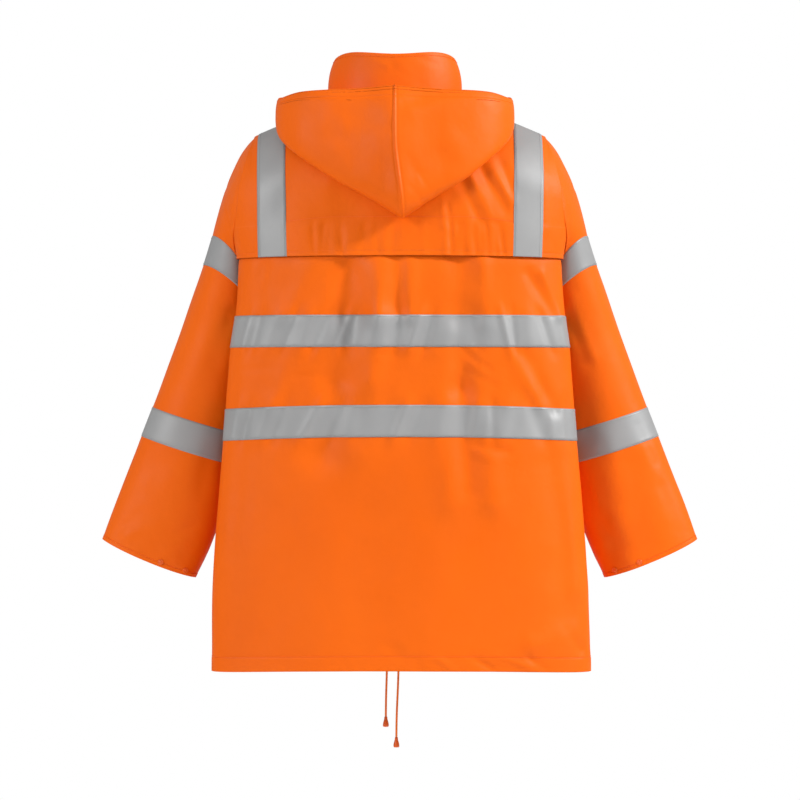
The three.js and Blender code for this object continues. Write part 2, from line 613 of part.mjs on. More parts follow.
function buildClosure() {
  const body = [HEM_Z + 11, ...LOWER_LEVELS.slice(2), ...riseLevels(0, 180 - RISE_STEP).map((level) => (
    mix(UNDERARM_Z, NECK_FRONT_Z, armholeShare(level))))];
  const heights = [...body, NECK_FRONT_Z + 1, -5, 12, 30, COLLAR_FRONT_TOP - 3];
  const under = -COLLAR_WALL - 2 * SEAM;
  const left = closureStrip(heights, ZIP_HALF + SEAM, ZIP_TAPE_EDGE, under - TAPE, under);
  const right = closureStrip(heights, -ZIP_TAPE_EDGE, -ZIP_HALF - SEAM, under - TAPE, under);
  add('zip_tape_left', left, finish.orange);
  add('zip_tape_right', right, finish.orange);
  const chain = [...heights.slice(0, -1), COLLAR_FRONT_TOP - 8];
  add('zip_chain', closureStrip(chain, -ZIP_HALF, ZIP_HALF, under, under + ZIP_THICK), finish.plastic);
}

// Two closed geometries joined to one solid.
function joined(first, second) {
  const solids = [first, second].map((geometry) => {
    const plain = geometry.clone();
    plain.deleteAttribute('normal');
    plain.deleteAttribute('uv');
    const merged = mergeVertices(plain);
    return new wasm.Manifold(new wasm.Mesh({
      numProp: 3,
      vertProperties: new Float32Array(merged.attributes.position.array),
      triVerts: new Uint32Array(merged.index.array),
    }));
  });
  const mesh = solids[0].add(solids[1]).getMesh();
  const geometry = new THREE.BufferGeometry();
  geometry.setAttribute('position', new THREE.Float32BufferAttribute(mesh.vertProperties, 3));
  geometry.setIndex([...mesh.triVerts]);
  return geometry;
}

// A profile drawn with x out from the front and y up, extruded to both sides of the closure line.
function sideways(shape, width) {
  const geometry = new THREE.ExtrudeGeometry(shape, { depth: width, bevelEnabled: false, curveSegments: 6 });
  const turned = new THREE.Matrix4().makeBasis(
    new THREE.Vector3(0, -1, 0), new THREE.Vector3(0, 0, 1), new THREE.Vector3(-1, 0, 0));
  return geometry.translate(0, 0, -width / 2).applyMatrix4(turned);
}

// Bottom stop, slider and pull tab. The slider stands on the chain, and the tab's bar hangs in its arch.
function buildSlider() {
  const foot = closurePoint(HEM_Z + 11);
  const bottom = new THREE.BoxGeometry(STOP.width, STOP.thick, STOP.height);
  const stop = add('zip_bottom_box', bottom, finish.plastic);
  stop.position.set(foot.x, foot.y + STOP.thick / 2 - SEAM, foot.z - CLEAR - STOP.height / 2);

  const seat = closurePoint(SLIDER.z);
  const plate = new THREE.BoxGeometry(SLIDER.width, SLIDER.thick, SLIDER.length);
  plate.translate(0, -SLIDER.thick / 2, 0);
  const eyeOut = SLIDER.thick + ARCH.eye + CLEAR;
  const top = ARCH.eye + ARCH.wall;
  const profile = new THREE.Shape();
  profile.moveTo(SLIDER.thick - CLEAR, -ARCH.foot);
  profile.lineTo(eyeOut, -top);
  profile.absarc(eyeOut, 0, top, -Math.PI / 2, Math.PI / 2, false);
  profile.lineTo(SLIDER.thick - CLEAR, ARCH.foot);
  profile.closePath();
  const eye = new THREE.Path();
  eye.absarc(eyeOut, 0, ARCH.eye, 0, 2 * Math.PI, true);
  profile.holes.push(eye);
  const slider = add('zip_slider', joined(plate, sideways(profile, ARCH.width)), finish.metal);
  const chainTop = ZIP_THICK - COLLAR_WALL - 2 * SEAM;
  slider.position.set(seat.x, seat.y - chainTop - 2 * SEAM, seat.z);

  const half = PULL.width / 2;
  const tab = new THREE.Shape();
  tab.moveTo(half, PULL.bar / 2);
  tab.lineTo(-half, PULL.bar / 2);
  tab.lineTo(-half, half - PULL.length);
  tab.absarc(0, half - PULL.length, half, Math.PI, 2 * Math.PI, false);
  tab.closePath();
  const slot = new THREE.Path();
  const side = PULL.slotWidth / 2;
  slot.moveTo(side, -PULL.bar / 2);
  slot.lineTo(side, -PULL.bar / 2 - PULL.slot);
  slot.lineTo(-side, -PULL.bar / 2 - PULL.slot);
  slot.lineTo(-side, -PULL.bar / 2);
  slot.closePath();
  tab.holes.push(slot);
  const flat = new THREE.ExtrudeGeometry(tab, { depth: PULL.thick, bevelEnabled: false, curveSegments: 8 });
  flat.translate(0, 0, -PULL.thick / 2).rotateX(Math.PI / 2);
  const pull = add('zip_pull', flat, finish.metal);
  pull.position.set(seat.x, slider.position.y - eyeOut, seat.z - PULL.drop);
}

// A press stud's cap, lying on the sleeve's skin.
function buildStuds() {
  for (const [name, side] of [['left', 1], ['right', -1]]) {
    STUD_TURNS.forEach((degrees, i) => {
      const angle = radians(degrees);
      const normal = sleeveNormal(angle, STUD_RING);
      const place = sleevePoint(angle, STUD_RING).addScaledVector(normal, STUD.lift + STUD.thick / 2);
      const cap = new THREE.CylinderGeometry(STUD.radius - 0.6, STUD.radius, STUD.thick, 12);
      const mesh = add(`cuff_stud_${name}_${i + 1}`, cap, finish.plastic);
      normal.x *= side;
      mesh.position.set(place.x * side, place.y, place.z);
      mesh.quaternion.setFromUnitVectors(new THREE.Vector3(0, 1, 0), normal);
    });
  }
}

// The drawcord's eyelets beside the closure, its free ends and the bell that ends each.
function buildDrawcord() {
  for (const { side, route } of CORDS) {
    const reach = side === 'left' ? EYELET.spread : -EYELET.spread;
    const skin = closurePoint(EYELET.z, reach);
    const { outer, inner, thick } = EYELET;
    const ring = [[inner, 0], [outer, 0], [outer, thick], [inner, thick], [inner, 0]];
    const eyelet = new THREE.LatheGeometry(ring.map(([x, y]) => new THREE.Vector2(x, y)), 16);
    add(`hem_eyelet_${side}`, eyelet, finish.metal).position.set(skin.x, skin.y - SEAM - thick, skin.z);
    const points = route.map(([across, out, down]) => (
      new THREE.Vector3(skin.x + across, skin.y - CLEAR - out, skin.z - down)));
    const section = new THREE.Shape();
    section.absarc(0, 0, CORD_DIAMETER / 2, 0, 2 * Math.PI);
    const cord = new THREE.ExtrudeGeometry(section, {
      steps: CORD_STEPS, curveSegments: 4, bevelEnabled: false,
      extrudePath: new THREE.CatmullRomCurve3(points, false, 'centripetal'),
    });
    add(`drawcord_${side}`, cord, finish.plastic);
    const end = points[points.length - 1];
    const { length, top, bottom } = CORD_END;
    const bell = [[0, 0], [bottom - 1, 0], [bottom, 1.5], [bottom - 0.3, 6], [top + 0.4, length - 4],
      [top, length - 0.8], [top - 0.8, length], [0, length]];
    const cap = new THREE.LatheGeometry(bell.map(([x, y]) => new THREE.Vector2(x, y)), 12);
    cap.rotateX(Math.PI / 2);
    add(`cord_end_${side}`, cap, finish.plastic).position.set(end.x, end.y, end.z - CLEAR - length);
  }
}

buildBody();
buildBands();
buildShoulderTapes();
buildSleeves();
buildCollar();
buildHood();
buildClosure();
buildSlider();
buildStuds();
buildDrawcord();

export default jacket;
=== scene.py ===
"""Looks of the hi-vis work jacket: camera, light, cords, cloth with its folds, stitching and zip teeth."""

import math

import bpy
import numpy as np
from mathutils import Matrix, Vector


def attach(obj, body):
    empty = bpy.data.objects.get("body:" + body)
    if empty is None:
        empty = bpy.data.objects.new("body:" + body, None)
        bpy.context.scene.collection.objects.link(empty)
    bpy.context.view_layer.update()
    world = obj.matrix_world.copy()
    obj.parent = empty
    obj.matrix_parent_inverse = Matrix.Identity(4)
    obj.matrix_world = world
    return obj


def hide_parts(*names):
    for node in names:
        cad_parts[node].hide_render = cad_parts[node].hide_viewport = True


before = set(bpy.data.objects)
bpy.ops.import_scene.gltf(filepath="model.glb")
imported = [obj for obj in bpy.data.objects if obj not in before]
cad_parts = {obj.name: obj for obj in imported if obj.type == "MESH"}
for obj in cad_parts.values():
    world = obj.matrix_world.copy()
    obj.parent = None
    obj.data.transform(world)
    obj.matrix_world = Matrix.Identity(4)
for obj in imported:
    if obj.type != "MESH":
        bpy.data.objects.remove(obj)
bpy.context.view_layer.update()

MM = 0.001
scene = bpy.context.scene
scene.view_settings.view_transform = "Standard"
scene.view_settings.look = "None"

# Camera, floor and light
CAMERA_BACK = 4.030  # from the origin, on the back's side
CAMERA_HEIGHT = -0.460
FIELD = 1.240  # width that the picture covers at the jacket's back
SENSOR = 36.0
BACK_SURFACE = 0.130
FLOOR_Z = -1.45
FLOOR_RADIUS = 2.0

camera_data = bpy.data.cameras.new("camera")
camera_data.sensor_width = SENSOR
camera_data.lens = SENSOR * (CAMERA_BACK - BACK_SURFACE) / FIELD
camera_data.clip_end = 60
camera = bpy.data.objects.new("camera", camera_data)
camera.location = (0, CAMERA_BACK, CAMERA_HEIGHT)
camera.rotation_euler = (math.radians(90), 0, math.radians(180))
scene.collection.objects.link(camera)
scene.camera = camera


def node(tree, kind, **values):
    """A new shader node: each value goes to the input of that name, or else to the setting."""
    made = tree.nodes.new(kind)
    for key, value in values.items():
        if key in made.inputs:
            made.inputs[key].default_value = value
        else:
            setattr(made, key, value)
    return made


def studio_world(toward, middle, spread):
    """White backdrop, and a soft light that is brighter on the side it comes from."""
    world = bpy.data.worlds.new("studio")
    world.use_nodes = True
    tree = world.node_tree
    tree.nodes.clear()
    place = node(tree, "ShaderNodeTexCoord")
    dot = node(tree, "ShaderNodeVectorMath", operation="DOT_PRODUCT")
    dot.inputs[1].default_value = Vector(toward).normalized()
    strength = node(tree, "ShaderNodeMath", operation="MULTIPLY_ADD")
    strength.inputs[1].default_value = spread
    strength.inputs[2].default_value = middle
    shade = node(tree, "ShaderNodeBackground")
    backdrop = node(tree, "ShaderNodeBackground", Color=(1, 1, 1, 1))
    path = node(tree, "ShaderNodeLightPath")
    both = node(tree, "ShaderNodeMixShader")
    out = node(tree, "ShaderNodeOutputWorld")
    tree.links.new(place.outputs["Generated"], dot.inputs[0])
    tree.links.new(dot.outputs["Value"], strength.inputs[0])
    tree.links.new(strength.outputs[0], shade.inputs["Strength"])
    tree.links.new(path.outputs["Is Camera Ray"], both.inputs[0])
    tree.links.new(shade.outputs[0], both.inputs[1])
    tree.links.new(backdrop.outputs[0], both.inputs[2])
    tree.links.new(both.outputs[0], out.inputs["Surface"])
    return world


SKY_TOWARD, SKY_STRENGTH, SKY_SPREAD = (0.2, 0.5, 0.8), 0.49, 0.14
scene.world = studio_world(SKY_TOWARD, SKY_STRENGTH, SKY_SPREAD)


def area_light(name, place, target, size, power):
    data = bpy.data.lights.new(name, "AREA")
    data.shape = "DISK"
    data.size = size
    data.energy = power
    light = bpy.data.objects.new(name, data)
    light.location = place
    light.rotation_euler = (Vector(target) - Vector(place)).to_track_quat("-Z", "Y").to_euler()
    scene.collection.objects.link(light)


area_light("key", place=(-3.8, 1.4, 1.9), target=(0, 0, -0.4), size=0.8, power=236)
area_light("fill", place=(3.0, 2.9, 0.9), target=(0, 0, -0.3), size=1.6, power=92)


# Materials
def material(name, colour, roughness, metallic=0.0, specular=0.5):
    mat = bpy.data.materials.new(name)
    mat.use_nodes = True
    bsdf = mat.node_tree.nodes["Principled BSDF"]
    bsdf.inputs["Base Color"].default_value = (*colour, 1)
    bsdf.inputs["Roughness"].default_value = roughness
    bsdf.inputs["Metallic"].default_value = metallic
    bsdf.inputs["Specular IOR Level"].default_value = specular
    return mat, mat.node_tree, bsdf


def noise(tree, coordinate, scale, detail=3.0, roughness=0.5):
    made = node(tree, "ShaderNodeTexNoise", Scale=scale, Detail=detail, Roughness=roughness)
    tree.links.new(coordinate, made.inputs["Vector"])
    return made.outputs["Fac"]


def ranged(tree, value, low, high, start=0.3, end=0.7):
    made = node(tree, "ShaderNodeMapRange")
    made.inputs["From Min"].default_value = start
    made.inputs["From Max"].default_value = end
    made.inputs["To Min"].default_value = low
    made.inputs["To Max"].default_value = high
    tree.links.new(value, made.inputs["Value"])
    return made.outputs["Result"]


def weave(tree, coordinate, pitch):
    """Height of a plain weave: two sets of threads crossing, from the piece's own map in metres."""
    split = node(tree, "ShaderNodeSeparateXYZ")
    tree.links.new(coordinate, split.inputs["Vector"])
    waves = []
    for axis in ("X", "Y"):
        turn = node(tree, "ShaderNodeMath", operation="MULTIPLY")
        tree.links.new(split.outputs[axis], turn.inputs[0])
        turn.inputs[1].default_value = math.pi / pitch
        wave = node(tree, "ShaderNodeMath", operation="SINE")
        tree.links.new(turn.outputs[0], wave.inputs[0])
        waves.append(wave)
    cross = node(tree, "ShaderNodeMath", operation="MULTIPLY")
    tree.links.new(waves[0].outputs[0], cross.inputs[0])
    tree.links.new(waves[1].outputs[0], cross.inputs[1])
    return cross.outputs[0]


def bump(tree, bsdf, heights):
    """Chains bump maps: (height, distance in metres) each."""
    last = None
    for height, distance in heights:
        made = node(tree, "ShaderNodeBump")
        made.inputs["Strength"].default_value = 1.0
        made.inputs["Distance"].default_value = distance
        tree.links.new(height, made.inputs["Height"])
        if last is not None:
            tree.links.new(last, made.inputs["Normal"])
        last = made.outputs["Normal"]
    tree.links.new(last, bsdf.inputs["Normal"])


def tint_between(tree, bsdf, share, low, high):
    """Lets the base colour drift between two, by a noise."""
    tint = node(tree, "ShaderNodeMix", data_type="RGBA")
    tint.inputs["A"].default_value = (*low, 1)
    tint.inputs["B"].default_value = (*high, 1)
    tree.links.new(ranged(tree, share, 0, 1), tint.inputs["Factor"])
    tree.links.new(tint.outputs["Result"], bsdf.inputs["Base Color"])


SHELL_COLOUR = (0.80, 0.120, 0.0015)
SHELL_SOILED, SHELL_CLEAN = (0.775, 0.114, 0.0012), (0.815, 0.127, 0.0018)
THREAD_PITCH, THREAD_RISE = 0.0007, 0.00003  # of the shell's weave
TAPE_GREY, TAPE_DULL, TAPE_BRIGHT = (0.31, 0.31, 0.31), (0.29, 0.29, 0.29), (0.33, 0.33, 0.33)


def shell_material():
    mat, tree, bsdf = material("shell_cloth", SHELL_COLOUR, 0.5, specular=0.14)
    place = node(tree, "ShaderNodeTexCoord")
    object_place = place.outputs["Object"]
    tint_between(tree, bsdf, noise(tree, object_place, 5.0, 4.0, 0.55), SHELL_SOILED, SHELL_CLEAN)
    tree.links.new(ranged(tree, noise(tree, object_place, 22.0, 5.0), 0.42, 0.56), bsdf.inputs["Roughness"])
    bsdf.inputs["Sheen Weight"].default_value = 0.03
    bsdf.inputs["Sheen Roughness"].default_value = 0.4
    bsdf.inputs["Sheen Tint"].default_value = (1.0, 0.62, 0.35, 1)
    bump(tree, bsdf, [
        (weave(tree, place.outputs["UV"], THREAD_PITCH), THREAD_RISE),
        (noise(tree, object_place, 26.0, 3.0, 0.6), 0.0010),
        (noise(tree, object_place, 120.0, 2.0, 0.6), 0.00012),
    ])
    return mat


def tape_material():
    mat, tree, bsdf = material("reflective_tape", TAPE_GREY, 0.5, metallic=0.15, specular=0.3)
    place = node(tree, "ShaderNodeTexCoord")
    grain = noise(tree, place.outputs["Object"], 900.0, 2.0)
    tint_between(tree, bsdf, noise(tree, place.outputs["Object"], 9.0, 3.0), TAPE_DULL, TAPE_BRIGHT)
    tree.links.new(ranged(tree, grain, 0.44, 0.58), bsdf.inputs["Roughness"])
    bump(tree, bsdf, [(grain, 0.00002), (noise(tree, place.outputs["Object"], 60.0, 2.0), 0.00012)])
    return mat


def plain_material(name, colour, roughness, metallic=0.0, grain=0.0):
    mat, tree, bsdf = material(name, colour, roughness, metallic)
    place = node(tree, "ShaderNodeTexCoord")
    fine = noise(tree, place.outputs["Object"], 400.0, 2.0)
    tree.links.new(ranged(tree, fine, roughness - 0.05, roughness + 0.06), bsdf.inputs["Roughness"])
    if grain:
        bump(tree, bsdf, [(fine, grain)])
    return mat


def braid_material():
    mat, tree, bsdf = material("braided_cord", (0.95, 0.19, 0.01), 0.7)
    place = node(tree, "ShaderNodeTexCoord")
    wave = node(tree, "ShaderNodeTexWave", wave_type="BANDS", bands_direction="DIAGONAL",
                Scale=180.0, Distortion=2.0)
    tree.links.new(place.outputs["Object"], wave.inputs["Vector"])
    bump(tree, bsdf, [(wave.outputs["Fac"], 0.0002)])
    return mat


SHELL = shell_material()
TAPE_FINISH = tape_material()
THREAD = plain_material("thread", (0.85, 0.14, 0.004), 0.7)
GREY_THREAD = plain_material("grey_thread", (0.34, 0.34, 0.34), 0.7)
ZIP_TAPE_FINISH = plain_material("zip_tape_cloth", (0.74, 0.11, 0.004), 0.7, grain=0.00008)
ZIP_PLASTIC = plain_material("zip_plastic", (0.76, 0.12, 0.004), 0.35)
METAL = plain_material("plated_metal", (0.52, 0.52, 0.51), 0.3, metallic=1.0)
PLASTIC = plain_material("moulded_plastic", (0.78, 0.115, 0.004), 0.38)
BRAID = braid_material()

# Floor
bpy.ops.mesh.primitive_circle_add(
    vertices=96, radius=FLOOR_RADIUS, fill_type="NGON", location=(0, 0, FLOOR_Z))
floor = bpy.context.object
floor.name = "floor"
floor.data.materials.append(material("floor_paint", (0.92, 0.92, 0.92), 0.7)[0])


# Maths shared by the pieces
def mix(a, b, t):
    return a + (b - a) * t


def smooth(t):
    t = np.clip(t, 0, 1)
    return t * t * (3 - 2 * t)


def power(value, exponent):
    return np.sign(value) * np.abs(value) ** exponent


def along(rows, t):
    """Values of a table's rows at places along it, on smooth curves through the rows."""
    rows = np.asarray(rows, float)
    t = np.asarray(t, float)
    last = len(rows) - 1
    i = np.clip(np.floor(t).astype(int), 0, last - 1)
    u = (t - i)[..., None]
    a, b = rows[i], rows[i + 1]
    before = np.where((i > 0)[..., None], rows[np.maximum(i - 1, 0)], 2 * rows[0] - rows[1])
    past_end = 2 * rows[last] - rows[last - 1]
    after = np.where((i + 2 <= last)[..., None], rows[np.minimum(i + 2, last)], past_end)
    return 0.5 * (2 * a + (b - before) * u + (2 * before - 5 * a + 4 * b - after) * u**2
                  + (3 * a - before - 3 * b + after) * u**3)


def unit(v):
    return v / np.maximum(np.linalg.norm(v, axis=-1, keepdims=True), 1e-9)


# The body's skin, in millimetres
CLOTH = 0.9
HEM_Z, UNDERARM_Z, TIP_Z = -881.0, -242.0, -40.0
YOKE_SEAM_RISE, YOKE_EDGE_RISE, YOKE_STITCH_RISE = 54.0, 18.0, 62.0
YOKE_LIFT = 0.9
CHEST_TAPE_TOP, WAIST_TAPE_TOP, TAPE_WIDTH = -327.5, -467.5, 50.0
WIDEST_Y, BACK_ROUNDNESS, FRONT_ROUNDNESS, ARM_ROOM = 45.0, 2.3, 2.8, 50.0
SIDE_DROP = 7.0
BODY_Z = np.array([-881, -780, -690, -600, -524, -440, -375, -320, -242, -200, -140, -98, -40], float)
HALF, AHEAD, BACK, FRONT = range(4)
BODY = np.array([
    (299, 299, 128, -134),
    (298, 298, 125, -131),
    (294, 290, 123, -129),
    (287, 273, 122, -128),
    (281, 259, 122, -128),
    (274, 241, 124, -129),
    (268, 228, 127, -131),
    (260, 220, 129, -132),
    (256, 218, 130, -132),
    (262, 226, 128, -132),
    (268, 242, 122, -130),
    (261, 256, 120, -128),
    (245, 277, 118, -126),
], float)
ARM_TOP_Y, ARM_LOW_Y, ARM_BACK_Y, ARM_FRONT_Y = -5.0, -25.0, 75.0, -78.0
NECK_HALF, NECK_Y, NECK_BACK, NECK_FRONT = 106.0, -5.0, 77.0, 83.0
NECK_Z, NECK_DROP, NECK_X, CLOSURE_X, SHIFT_FADE = 8.0, 30.0, 8.0, 11.5, 86.0


def body_value(column, z):
    z = np.asarray(z, float)
    i = np.clip(np.searchsorted(BODY_Z, z, side="right") - 1, 0, len(BODY_Z) - 2)
    t = np.clip((z - BODY_Z[i]) / (BODY_Z[i + 1] - BODY_Z[i]), 0, 1)
    return along(BODY[:, column:column + 1], i + t)[..., 0]


def armhole_share(level):
    return np.maximum(0, (level - UNDERARM_Z) / (TIP_Z - UNDERARM_Z))


def rise_level(degrees):
    return mix(UNDERARM_Z, TIP_Z, (1 - np.cos(np.radians(degrees))) / 2)


TIP_HALF = float(body_value(HALF, TIP_Z))


def top_line(x, is_back):
    u = np.abs(x) / NECK_HALF
    t = (np.abs(x) - NECK_HALF) / (TIP_HALF - NECK_HALF)
    outer_z = mix(NECK_Z, TIP_Z, np.clip(t * 1.1, 0, 1) ** 1.15)
    ring = np.sqrt(np.clip(1 - u * u, 0, 1))
    inner_y = NECK_Y + np.where(is_back, NECK_BACK, -NECK_FRONT) * ring
    inner_z = NECK_Z - np.where(is_back, 0.0, NECK_DROP) * ring**1.6
    return np.where(u >= 1, ARM_TOP_Y, inner_y), np.where(u >= 1, outer_z, inner_z)


def body_point(turn, level):
    turn, level = np.broadcast_arrays(np.asarray(turn, float), np.asarray(level, float))
    s, c = np.sin(turn), np.cos(turn)
    is_back = c >= 0
    exponent = np.where(is_back, 2 / BACK_ROUNDNESS, 2 / FRONT_ROUNDNESS)
    reach = np.where(is_back, body_value(BACK, level), body_value(FRONT, level))
    y = WIDEST_Y + (reach - WIDEST_Y) * np.abs(c) ** exponent
    lean = smooth((WIDEST_Y - y) / ARM_ROOM)
    x = mix(body_value(HALF, level), body_value(AHEAD, level), lean) * power(s, exponent)
    share = armhole_share(level)
    z = level - SIDE_DROP * s * s * smooth((CHEST_TAPE_TOP - TAPE_WIDTH - level) / 100)
    top_y, top_z = top_line(x, is_back)
    bend = np.maximum(0, 2 * share - 1)
    fall = mix(0.8, 0.5, smooth(np.abs(x) / NECK_HALF / 2))
    high = share > 0
    z = np.where(high, mix(UNDERARM_Z, top_z, share), z)
    y = np.where(high, top_y + (y - top_y) * np.maximum(0, 1 - bend * bend) ** fall, y)
    shift = np.where(is_back, NECK_X * smooth(share), mix(CLOSURE_X, NECK_X, share))
    x = x + shift * (1 - smooth((np.abs(x) - NECK_HALF) / SHIFT_FADE))
    return np.stack([x, y, z], -1)


def body_normal(turn, level):
    place = np.minimum(level, TIP_Z - 2)
    around = body_point(turn - 0.01, place) - body_point(turn + 0.01, place)
    up = body_point(turn, place + 2) - body_point(turn, place - 2)
    return unit(np.cross(around, up))


def turn_at_depth(y, level):
    back = np.clip((y - WIDEST_Y) / (body_value(BACK, level) - WIDEST_Y), 0, 1)
    front = np.clip((WIDEST_Y - y) / (WIDEST_Y - body_value(FRONT, level)), 0, 1)
    return np.where(y >= WIDEST_Y, np.arccos(back ** (BACK_ROUNDNESS / 2)),
                    np.pi - np.arccos(front ** (FRONT_ROUNDNESS / 2)))


def edge_turn(is_back, level):
    share = armhole_share(level)
    low = turn_at_depth(mix(ARM_LOW_Y, 0.0, smooth((UNDERARM_Z - level) / 60)), level)
    around = np.sqrt(np.clip(1 - (2 * share - 1) ** 2, 0, 1))
    far = np.where(is_back, ARM_BACK_Y, ARM_FRONT_Y)
    depth = np.where(share < 0.5, mix(ARM_LOW_Y, far, around), far)
    return np.where(share <= 0, low, turn_at_depth(depth, level))


def turn_at_x(x, level, is_back):
    exponent = (BACK_ROUNDNESS if is_back else FRONT_ROUNDNESS) / 2
    half = body_value(HALF if is_back else AHEAD, level)
    angle = np.arcsin(np.minimum(1, (np.abs(x) / half) ** exponent)) * np.where(np.asarray(x) < 0, -1.0, 1.0)
    return angle if is_back else np.pi - angle


def column_turns(places, is_back, level, inner, gap):
    """Turns of a panel's columns at places from 0 to 1, for one level or an array of them."""
    level = np.asarray(level, float)[..., None]
    places = np.asarray(places, float)
    trim = gap / 2 / body_value(HALF, level)
    edge = edge_turn(is_back, level) + (-trim if is_back else trim)
    start = inner if is_back else np.pi - inner
    share = armhole_share(level)
    corner = turn_at_x(NECK_HALF, TIP_Z, is_back)
    neck_share = 5 / 11 if is_back else 4 / 9
    even = mix(start, edge, places)
    aligned = np.where(places <= neck_share, mix(start, corner, np.minimum(places / neck_share, 1)),
                       mix(corner, edge, np.clip((places - neck_share) / (1 - neck_share), 0, 1)))
    return mix(even, aligned, share)


# Creases
# Each crease is a soft trough (height below 0) or ridge, in millimetres: from (x, z) to (x, z), its half
# width and its height.
BACK_CREASES = [
    (78, -236, 84, -330, 20, -5.0), (84, -330, 98, -430, 22, -4.6), (98, -430, 122, -540, 26, -3.6),
    (31, -236, 34, -330, 18, 4.6), (34, -330, 43, -430, 20, 4.4), (43, -430, 62, -540, 26, 2.8),
    (4, -236, 2, -318, 9, -1.8), (-16, -236, -15, -330, 12, 2.6), (-15, -330, 2, -450, 15, 1.8),
    (-92, -236, -92, -330, 20, -4.6), (-92, -330, -96, -440, 20, -4.4), (-96, -440, -106, -600, 18, -3.4),
    (-128, -240, -134, -340, 14, 2.6), (-140, -500, -146, -620, 18, 2.6), (-70, -520, -78, -620, 20, 2.0),
    (-200, -262, -238, -322, 9, -2.4), (-222, -262, -250, -330, 7, 1.8), (-196, -388, -242, -474, 11, -2.6),
    (-176, -392, -220, -470, 12, 1.8), (212, -250, 236, -330, 14, -2.0), (140, -250, 172, -330, 18, 1.8),
    (170, -380, 196, -470, 20, 1.6), (-100, -385, -140, -412, 5, -1.4), (-104, -412, -150, -440, 5, -1.2),
    (-112, -378, -128, -402, 4, 1.0), (-116, -530, -168, -540, 6, -1.2), (-112, -536, -150, -556, 6, 0.9),
    (30, -388, -36, -396, 4, -0.7), (-36, -396, -58, -388, 3, 0.8), (190, -410, 248, -412, 3, -0.5),
    (120, -420, 180, -424, 3, -0.5), (-150, -600, -280, -870, 60, 2.4), (150, -560, 210, -860, 70, -2.6),
    (-30, -600, -60, -860, 70, 1.8), (60, -640, 70, -870, 50, -1.6), (-236, -560, -262, -800, 18, -1.8),
    (-258, -530, -276, -760, 12, 1.6), (246, -500, 264, -700, 14, -1.4),
    (-206, -842, -262, -820, 16, 2.2), (-262, -820, -284, -852, 8, -1.8), (-110, -858, -142, -878, 6, -1.3),
    (-60, -862, -84, -879, 5, 1.1), (-24, -862, -30, -878, 4, -1.0), (-150, -858, -200, -876, 6, 1.1),
    (20, -838, -10, -866, 8, -0.9), (-200, -862, -226, -878, 5, -1.0),
]
# The bands' own ripples: x at the band's top and at its bottom, half width, height.
CHEST_RIPPLES = [
    (234, 246, 6, 1.3), (218, 232, 8, -1.6), (192, 208, 13, 1.4), (162, 180, 7, -1.3), (141, 153, 11, 1.2),
    (113, 135, 9, -1.7), (78, 95, 7, 2.0), (62, 74, 13, -2.2), (18, 28, 7, 0.9), (-6, 6, 11, -1.6),
    (-31, -17, 7, 2.5), (-51, -37, 8, -1.9), (-85, -73, 15, 1.4), (-118, -118, 13, -2.3),
    (-158, -170, 6, 1.9), (-175, -180, 5, -1.0), (-199, -203, 11, 1.1), (-220, -237, 8, -2.0),
    (-250, -259, 6, 1.5),
]
WAIST_RIPPLES = [
    (252, 263, 7, 1.3), (232, 246, 6, -1.2), (204, 222, 12, 1.6), (180, 196, 10, -1.4), (125, 153, 9, 1.8),
    (89, 105, 13, -1.7), (58, 62, 13, -1.1), (-10, 8, 8, 2.3), (-37, -17, 10, -1.6), (-69, -57, 13, 1.3),
    (-122, -112, 8, 1.3), (-144, -144, 7, -1.6), (-168, -160, 11, 1.3), (-207, -223, 13, -1.9),
    (-235, -239, 8, 1.1), (-262, -266, 6, -1.2),
]
YOKE_CREASES = [
    (-150, -70, -172, -128, 8, -3.0), (-124, -96, -164, -166, 9, -3.2), (-96, -124, -121, -176, 8, -2.6),
    (-136, -80, -170, -150, 8, 2.4), (-108, -110, -140, -172, 8, 2.2), (-74, -160, -79, -190, 5, -1.4),
    (-66, -150, -68, -190, 6, 1.2), (60, -150, 100, -186, 22, -2.2), (100, -110, 150, -170, 20, 1.8),
    (150, -60, 182, -160, 14, -1.4), (-225, -60, -232, -190, 12, 1.6), (226, -80, 240, -200, 12, -1.2),
]
# Puckers between the yoke's stitch line and its free edge: x at the edge, lean, half width, height.
PUCKERS = [
    (133, 3, 4.2, -0.8), (121, -2, 4.0, -1.0), (111, 1, 5.0, -0.6), (89, 3, 5.2, -0.8), (58, -2, 4.2, -0.7),
    (48, 2, 4.0, -0.6), (34, 3, 5.4, -0.6), (14, -3, 4.6, -0.8), (4, 1, 4.0, -0.5), (-38, 2, 5.0, 0.5),
    (-70, -3, 5.0, 0.7), (-80, 3, 4.4, -1.1), (-89, -1, 4.0, -0.7), (-99, 3, 5.0, -1.0),
    (-118, 4, 5.2, -0.9), (-126, 0, 4.0, -0.6), (-137, 4, 4.6, -1.1), (-149, 1, 5.0, -0.7),
    (-160, 5, 4.6, -1.0), (-240, 0, 5.0, -0.5), (228, 0, 5.0, -0.5),
]
PUCKER_TOP, PUCKER_LOW = -184.0, -238.0
FRONT_CREASES = [
    (205, -250, 150, -330, 16, -3.4), (190, -300, 160, -440, 22, 2.4), (-205, -250, -150, -330, 16, -3.4),
    (-196, -300, -168, -450, 22, 2.2), (70, -120, 96, -300, 26, -3.0), (-60, -130, -88, -320, 28, -2.8),
    (110, -340, 120, -520, 30, 2.6), (-100, -350, -118, -540, 28, -2.4), (180, -540, 230, -860, 46, 2.8),
    (-190, -540, -236, -860, 50, 2.6), (80, -560, 96, -860, 50, -2.4), (-70, -580, -92, -860, 46, -2.2),
    (140, -800, 170, -870, 14, -1.6), (-150, -790, -176, -872, 15, 1.6),
]


